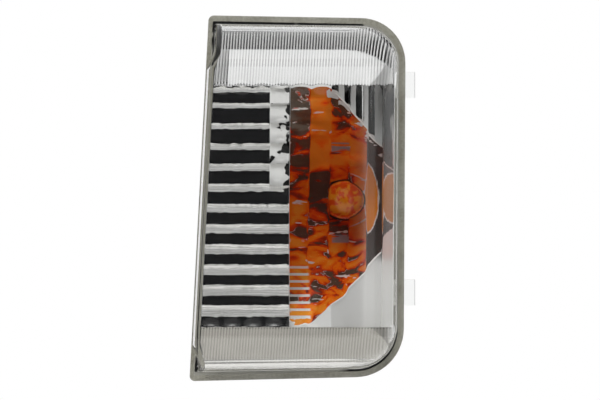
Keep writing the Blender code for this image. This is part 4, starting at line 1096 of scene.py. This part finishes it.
# The slats' section is a closed line of points: one at the rim's top, three for each slat, and three for
# the rim's foot and its back. It is swept from left to right, then leaned to the lamp's left edge and made
# a little ragged.
louvre_tree, given, results = geometry_tree("louvre_slats", LOUVRE)
tree = louvre_tree
count = given["Slats"] * POINTS_PER_SLAT
line = shape(tree, "MeshLine", Count=count + 4.0)
index = Number(add_node(tree, "GeometryNodeInputIndex").outputs[0])
body_index = index - 1.0
slat = maths("FLOOR", body_index / POINTS_PER_SLAT)
step = body_index - slat * POINTS_PER_SLAT
slat_top = maths("MINIMUM", given["Foot"] + (given["Slats"] - slat) * given["Pitch"], given["Top"])
share = slat / (given["Slats"] - 1.0)
face = (given["Top Face"] + share * (given["Foot Face"] - given["Top Face"])) * given["Pitch"]
height = slat_top - maths("COMPARE", step, 2.0) * face
depth = given["Front"] + maths("COMPARE", step, 1.0) * face * given["Slope"]
is_first = maths("LESS_THAN", index, 0.5)
is_tail, is_back, is_last = (maths("GREATER_THAN", index, count + past) for past in (0.5, 1.5, 2.5))
rim_top = given["Top"] + RIM_OVERLAP
height = choose(is_first, height, rim_top)
height = choose(is_tail, height, given["Foot"] - RIM_OVERLAP)
height = choose(is_last, height, rim_top)
depth = choose(is_first, depth, given["Front"])
depth = choose(is_tail, depth, given["Front"])
depth = choose(is_back, depth, given["Back"])
line = shape(tree, "SetPosition", Geometry=line, Position=vector(tree, X=depth * -1.0, Y=height * -1.0))
section = shape(tree, "SetSplineCyclic", Geometry=shape(tree, "MeshToCurve", Mesh=line), Cyclic=True)
left, right = (vector(tree, X=given[side]) for side in ("Left", "Right"))
path = shape(tree, "CurvePrimitiveLine", Start=left, End=right)
sweep = swept(tree, shape(tree, "ResampleCurve", Curve=path, Count=64), section)
place = add_node(tree, "GeometryNodeInputPosition").outputs[0]
x, z = axes_of(place)[::2]
lean = given["Lean"] * (z - given["Foot"])
along = (given["Right"] - x) / (given["Right"] - given["Left"])
drift = Number(add_node(tree, "ShaderNodeTexNoise", Scale=420.0, Detail=2.0, Vector=place).outputs[0]) - 0.5
shift = vector(tree, X=along * lean, Z=drift * given["Ragged"])
closed(tree, shape(tree, "SetPosition", Geometry=sweep, Offset=shift), slat_chrome, results)
slats = geometry_piece("louvre", louvre_tree, LOUVRE)
slats.data.set_sharp_from_angle(angle=math.radians(20))
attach(slats, "lamp")
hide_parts("louvre_bezel")

# Cheek of the louvre: a short run of slats with tall sloping faces beside the bowl, moulded with the bezel.
# Its pale faces carry painted black blobs, a painted reflection of the dark bowl.
cheek_reflection_paint, tree, shader = new_material("cheek_painted_reflections", (0.90, 0.90, 0.89), 0.20, 0.45)
waves = grain(tree, 230, 2, (0.8, 1, 0.8))
blobs = ramp(waves + ramp(object_axes(tree)[0], -0.0105, -0.0052) * 0.20, 0.64, 0.67)
put(mix_colour(blobs, (0.93, 0.93, 0.92), (0.015, 0.015, 0.015)), shader.inputs["Base Color"])
add_bump(shader, waves, 0.2, 0.0006)
SLATS_BELOW_CHEEK = 7
CHEEK_PROUD = 0.0022
CHEEK = {**LOUVRE, "Slats": 5, "Foot": WINDOW_BOTTOM + SLATS_BELOW_CHEEK * SLAT_PITCH,
         "Front": bezel_low.y - CHEEK_PROUD, "Slope": 0.3, "Top Face": 0.80, "Foot Face": 0.80,
         "Left": -0.0133, "Lean": 0.0}
cheek = geometry_piece("louvre_cheek", louvre_tree, CHEEK)
cheek.data.materials[0] = cheek_reflection_paint
cheek.data.set_sharp_from_angle(angle=math.radians(20))
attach(cheek, "lamp")
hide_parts("louvre_bezel")

# Steps of the field: upright flats that fall away to the right above the bowl, moulded with the reflector.
# Their faces look straight ahead and are painted dark with painted pale streaks of sheen, and their rounded
# edges catch the light from the side.
FIRST_STEP = BULB_X - 0.0051
STEPS = {"Steps": 5, "Pitch": 0.0052, "First": FIRST_STEP, "Face": side_field(FIRST_STEP) + JOINT_Y - 0.0003,
         "Slope": SIDE_SLOPE, "Foot": 0.0020, "Top": ENDS[1], "Thick": 0.0044}
STEP_ROUNDING = 0.0007
STEP_TRIM = (0.0061, 0.0037)
step_reflection_paint, tree, shader = new_material("step_painted_reflections", (0.30, 0.30, 0.30), 0.10, 1.0)
shine = ramp(grain(tree, 900, 2, (1, 0.3, 0.02)), 0.54, 0.60)
put(mix_colour(shine, (0.02, 0.02, 0.02), (0.95, 0.95, 0.95)), shader.inputs["Base Color"])
tree, given, results = geometry_tree("field_steps", STEPS)
middle = (given["Foot"] + given["Top"]) * 0.5
start = vector(tree, X=given["First"], Y=given["Face"] + given["Thick"] * 0.5, Z=middle)
stride = vector(tree, X=given["Pitch"], Y=given["Pitch"] * given["Slope"])
run = shape(tree, "MeshLine", mode="OFFSET", Count=given["Steps"], Start_Location=start, Offset=stride)
size = vector(tree, X=given["Pitch"], Y=given["Thick"], Z=given["Top"] - given["Foot"])
block = shape(tree, "MeshCube", Size=size)
closed(tree, shape(tree, "InstanceOnPoints", Points=run, Instance=block), step_reflection_paint, results)
steps = geometry_piece("field_steps", tree, STEPS)
add_bevel(steps, STEP_ROUNDING, 4)
hollow = bowl_solid(-0.0002, 24, 96, False)
combined(steps, [("DIFFERENCE", hollow), ("INTERSECT", crown_plate("step_trim", *STEP_TRIM))])
steps.data.set_sharp_from_angle(angle=math.radians(30))
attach(steps, "lamp")
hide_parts("reflector")

# Lip of the bowl: a rolled bead of bright metallising along the bowl's edge on the plain faces, moulded
# with the reflector. It ends before the flank.
LIP = {"Radius": 0.00032}
LIP_PROUD = 0.0001
LIP_END = 0.0064
lip_edge = BOWL_EDGE[9:] + BOWL_EDGE[:6]
lip = []
for first, second in zip(lip_edge, lip_edge[1:]):
    for share in (0, 0.25, 0.5, 0.75):
        x = BULB_X + first[0] + (second[0] - first[0]) * share
        z = BULB_Z + first[1] + (second[1] - first[1]) * share
        if x < right_line(z) - LIP_END:
            lip.append((x, JOINT_Y + plain_depth(x, z) - LIP_PROUD, z))
lip_chrome, tree, shader = new_material("lip_metallising", (0.96, 0.96, 0.95), 0.30, 0.2)
add_bump(shader, grain(tree, 500), 0.2, 0.0002)
tree, given, results = geometry_tree("bowl_lip", LIP, points=True)
circle = shape(tree, "CurvePrimitiveCircle", Resolution=10, Radius=given["Radius"])
closed(tree, swept(tree, shape(tree, "MeshToCurve", Mesh=given["Points"]), circle), lip_chrome, results)
bead = geometry_piece("bowl_lip", tree, LIP, lip, [(i, i + 1) for i in range(len(lip) - 1)])
bead.data.shade_smooth()
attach(bead, "lamp")
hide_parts("reflector")

# Bulb: blown amber glass envelope with a pinched wedge base, two bent lead wires held by a clear glass
# bead, and a coiled tungsten filament across their tips.
ENVELOPE_RADIUS = 0.0079
NECK_RADIUS = 0.0052
GLASS_WALL = 0.0007
SHOULDER = (0.0172, 0.0222)
NECK_FOOT = 0.0252
WEDGE = (0.0237, 0.0337)
WEDGE_HALF_WIDTH = 0.0051
WEDGE_HALF_HEIGHT = 0.0023


def turned(name, profile, material, steps=48):
    """A closed solid turned about the bulb's axis from (radius, y) points."""
    points, loops = [], []
    for j in range(steps):
        angle = FULL_TURN * j / steps
        loops.append([len(points) + i for i in range(len(profile))])
        points += [(BULB_X + r * math.cos(angle), y, BULB_Z + r * math.sin(angle)) for r, y in profile]
    pairs = zip(loops, loops[1:] + loops[:1])
    faces = [face for first, second in pairs for face in band_faces(first, second)]
    return new_piece(name, points, faces, material, 35, FINE_WELD)


def dome(radius, tip, steps=16):
    angles = [math.pi / 2 * i / steps for i in range(steps + 1)]
    return [(radius * math.sin(a), JOINT_Y + tip + radius * (1 - math.cos(a))) for a in angles]


def glass(name, colour, roughness, clear=1.0):
    material, tree, shader = new_material(name, colour, roughness, Transmission_Weight=clear, IOR=1.47)
    add_bump(shader, grain(tree, 120, 2, (1, 0.4, 1)), 0.10, 0.0004)
    return material, tree, shader


amber_glass, tree, shader = glass("amber_glass", (0.92, 0.23, 0.020), 0.03, 0.6)
swirls = ramp(grain(tree, 260, 2, (1, 0.3, 1), 1.5), 0.44, 0.56)
put(mix_colour(swirls, (0.86, 0.085, 0.005), (1.0, 0.32, 0.014)), shader.inputs["Base Color"])
bulb_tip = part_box("bulb_envelope")[0].y - JOINT_Y
wall = [(ENVELOPE_RADIUS, JOINT_Y + SHOULDER[0]), (NECK_RADIUS + 0.0004, JOINT_Y + SHOULDER[1] - 0.0006),
        (NECK_RADIUS, JOINT_Y + SHOULDER[1]), (NECK_RADIUS, JOINT_Y + NECK_FOOT)]
profile = dome(ENVELOPE_RADIUS, bulb_tip) + wall
profile += [(r - GLASS_WALL, y) for r, y in reversed(wall)]
profile += list(reversed(dome(ENVELOPE_RADIUS - GLASS_WALL, bulb_tip + GLASS_WALL)))
envelope = turned("amber_envelope", profile, amber_glass)
low = Vector((BULB_X - WEDGE_HALF_WIDTH, JOINT_Y + WEDGE[0], BULB_Z - WEDGE_HALF_HEIGHT))
high = Vector((BULB_X + WEDGE_HALF_WIDTH, JOINT_Y + WEDGE[1], BULB_Z + WEDGE_HALF_HEIGHT))
smoothed(combined(envelope, [("UNION", box_solid("wedge", low, high))]), 35)
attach(envelope, "holder")
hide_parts("bulb_envelope")

lead_wire, tree, shader = new_material("lead_wire", (0.46, 0.43, 0.40), 0.32, 1.0)
add_bump(shader, grain(tree, 1500, 2, (1, 0.1, 1)), 0.3, 0.0001)
clear_glass = glass("clear_glass", (0.93, 0.95, 0.93), 0.02)[0]
for node in ("bulb_lead_left", "bulb_lead_right", "bulb_bead"):
    material = clear_glass if node == "bulb_bead" else lead_wire
    wire = refined(node, node + "_fine", material, 0.00008 if material == lead_wire else 0.0004, 3)
    smoothed(wire, 60)
    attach(wire, "holder")
    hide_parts(node)

tungsten, tree, shader = new_material("tungsten", (0.24, 0.23, 0.23), 0.45, 1.0)
add_bump(shader, grain(tree, 3000), 0.3, 0.0001)
coil_low, coil_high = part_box("bulb_filament")
COIL = {"Turns": 11.0, "Radius": 0.00080, "Length": coil_high.x - coil_low.x - 0.0003, "Wire": 0.00012,
        "Across": BULB_X, "Deep": 0.5 * (coil_low.y + coil_high.y), "High": 0.5 * (coil_low.z + coil_high.z)}
tree, given, results = geometry_tree("filament_coil", COIL)
spiral = shape(tree, "CurveSpiral", Resolution=14, Rotations=given["Turns"], Start_Radius=given["Radius"],
               End_Radius=given["Radius"], Height=given["Length"])
circle = shape(tree, "CurvePrimitiveCircle", Resolution=6, Radius=given["Wire"])
place = vector(tree, X=given["Across"] - given["Length"] * 0.5, Y=given["Deep"], Z=given["High"])
coil = shape(tree, "Transform", Geometry=swept(tree, spiral, circle), Rotation=(0, math.pi / 2, 0),
             Translation=place)
closed(tree, coil, tungsten, results)
filament = geometry_piece("filament", tree, COIL)
filament.data.shade_smooth()
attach(filament, "holder")
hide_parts("bulb_filament")

# Bulb holder: black moulded plastic with bayonet lugs, a flange, two grip wings and a two-pin connector
# shroud. Small ribs on the wings give the fingers a hold. Two tinned brass strips pinch the bulb and end as
# pins.
black_plastic = moulded_plastic(
    "black_plastic", (0.014, 0.014, 0.015), (0.022, 0.022, 0.023), 0.42, 2600, 0.00015)
holder = refined("bulb_holder", "holder_moulding", black_plastic, 0.00030)
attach(holder, "holder")
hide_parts("bulb_holder")
COLLAR_LENGTH = 0.0048
FLANGE_THICKNESS = 0.0014
flange_end = JOINT_Y + REFLECTOR_BACK + COLLAR_LENGTH + FLANGE_THICKNESS
GRIPS = {"Ribs": 5, "Pitch": 0.00105, "Start": flange_end + 0.0010, "Length": 0.0040, "Thick": 0.00045,
         "Height": 0.00030, "Out": 0.0122, "Across": BULB_X, "High": BULB_Z, "Wing": 0.0013}
tree, given, results = geometry_tree("grip_ribs", GRIPS)
bars = shape(tree, "MeshLine", mode="OFFSET", Count=given["Ribs"], Offset=vector(tree, Y=given["Pitch"]))
through = given["Wing"] * 2.0 + given["Height"] * 2.0
bar = shape(tree, "MeshCube", Size=vector(tree, X=given["Length"], Y=given["Thick"], Z=through))
spread = shape(tree, "InstanceOnPoints", Points=bars, Instance=bar)
sides = []
for side in (-1.0, 1.0):
    place = vector(tree, X=given["Across"] + given["Out"] * side, Y=given["Start"], Z=given["High"])
    sides.append(shape(tree, "Transform", Geometry=spread, Translation=place))
closed(tree, joined(tree, sides), black_plastic, results)
ribs = geometry_piece("grip_ribs", tree, GRIPS)
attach(ribs, "holder")
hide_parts("bulb_holder")

tinned_brass, tree, shader = new_material("tinned_brass", (0.66, 0.63, 0.56), 0.28, 1.0)
drawn = grain(tree, 1400, 2, (1, 0.05, 1))
put(mix_colour(drawn, (0.62, 0.60, 0.55), (0.72, 0.70, 0.66)), shader.inputs["Base Color"])
add_bump(shader, drawn, 0.3, 0.0001)
for node in ("contact_upper", "contact_lower"):
    strip = refined(node, node + "_fine", tinned_brass, 0.00014)
    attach(strip, "holder")
    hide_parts(node)

# Rubber parts: the ring seal under the holder's flange, with a rounded section, and the cap on the vent
# spigot. Both are moulded in black rubber. The seal goes round the holder, and the cap is pushed on.
black_rubber = moulded_plastic(
    "black_rubber", (0.012, 0.012, 0.012), (0.020, 0.020, 0.019), 0.80, 1600, 0.0002)
seal_low, seal_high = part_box("holder_seal")
SEAL_INNER = 0.0135
SEAL_SIDES = 16
SEAL_ROUNDING = 0.6
seal_outer = 0.5 * (seal_high.x - seal_low.x)


def rounded_part(value):
    """A sine or cosine flattened towards the sides of a square."""
    return math.copysign(abs(value) ** SEAL_ROUNDING, value)


profile = []
for i in range(SEAL_SIDES):
    angle = FULL_TURN * i / SEAL_SIDES
    radius = 0.5 * (SEAL_INNER + seal_outer) + 0.5 * (seal_outer - SEAL_INNER) * rounded_part(math.cos(angle))
    y = 0.5 * (seal_low.y + seal_high.y) + 0.5 * (seal_high.y - seal_low.y) * rounded_part(math.sin(angle))
    profile.append((radius, y))
seal = turned("ring_seal", profile, black_rubber, 64)
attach(seal, "holder")
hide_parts("holder_seal")
cap = refined("vent_cap", "vent_cap_fine", black_rubber, 0.0005, 3)
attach(cap, "lamp")
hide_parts("vent_cap")

# Screws: four zinc-plated steel screws with pan heads and cross recesses, which hold the reflector from
# behind.
SCREWS = ["reflector_screw_1", "reflector_screw_2", "reflector_screw_3", "reflector_screw_4"]
SCREW = {"Head": 0.0031, "Crown": 0.0022, "Rim": 0.0010, "Dome": 0.0010, "Shank": 0.0013, "Length": 0.0110,
         "Slot": 0.0031, "Blade": 0.0008, "Depth": 0.0012}
HEAD_HEIGHT = 0.0020
zinc_steel, tree, shader = new_material("zinc_steel", (0.60, 0.61, 0.63), 0.30, 1.0)
plating = grain(tree, 700, 3)
put(mix_colour(plating, (0.56, 0.57, 0.60), (0.68, 0.68, 0.66)), shader.inputs["Base Color"])
add_bump(shader, plating, 0.25, 0.0001)


def lifted(tree, geometry, height):
    return shape(tree, "Transform", Geometry=geometry, Translation=vector(tree, Z=height))


def cone(tree, foot, tip, height, start):
    """A cone frustum that stands on the XY plane at the height start."""
    frustum = shape(tree, "MeshCone", Vertices=24, Radius_Top=tip, Radius_Bottom=foot, Depth=height)
    return lifted(tree, frustum, start)


tree, given, results = geometry_tree("screws", SCREW, points=True)
top = given["Rim"] + given["Dome"]
point = given["Length"] * -1.0
head = joined(tree, [cone(tree, given["Head"], given["Head"], given["Rim"], 0.0),
                     cone(tree, given["Head"], given["Crown"], given["Dome"], given["Rim"])])
head = shape(tree, "MergeByDistance", Geometry=head)
recessed = add_node(tree, "GeometryNodeMeshBoolean", operation="DIFFERENCE", Mesh_1=head)
for wide, thick in (("Slot", "Blade"), ("Blade", "Slot")):
    size = vector(tree, X=given[wide], Y=given[thick], Z=given["Depth"] * 2.0)
    put(lifted(tree, shape(tree, "MeshCube", Size=size), top), recessed.inputs["Mesh 2"])
shank = cone(tree, given["Shank"], given["Shank"], given["Length"] - given["Shank"], point + given["Shank"])
tip = cone(tree, given["Shank"] * 0.33, given["Shank"], given["Shank"], point)
whole = joined(tree, [recessed.outputs[0], shank, tip])
laid = shape(tree, "Transform", Geometry=whole, Rotation=(-math.pi / 2, 0, 0))
closed(tree, shape(tree, "InstanceOnPoints", Points=given["Points"], Instance=laid), zinc_steel, results)
places = []
for node in SCREWS:
    low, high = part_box(node)
    places.append((0.5 * (low.x + high.x), high.y - HEAD_HEIGHT, 0.5 * (low.z + high.z)))
screws = geometry_piece("reflector_screws", tree, SCREW, places)
smoothed(screws, 35)
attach(screws, "lamp")
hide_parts(*SCREWS)
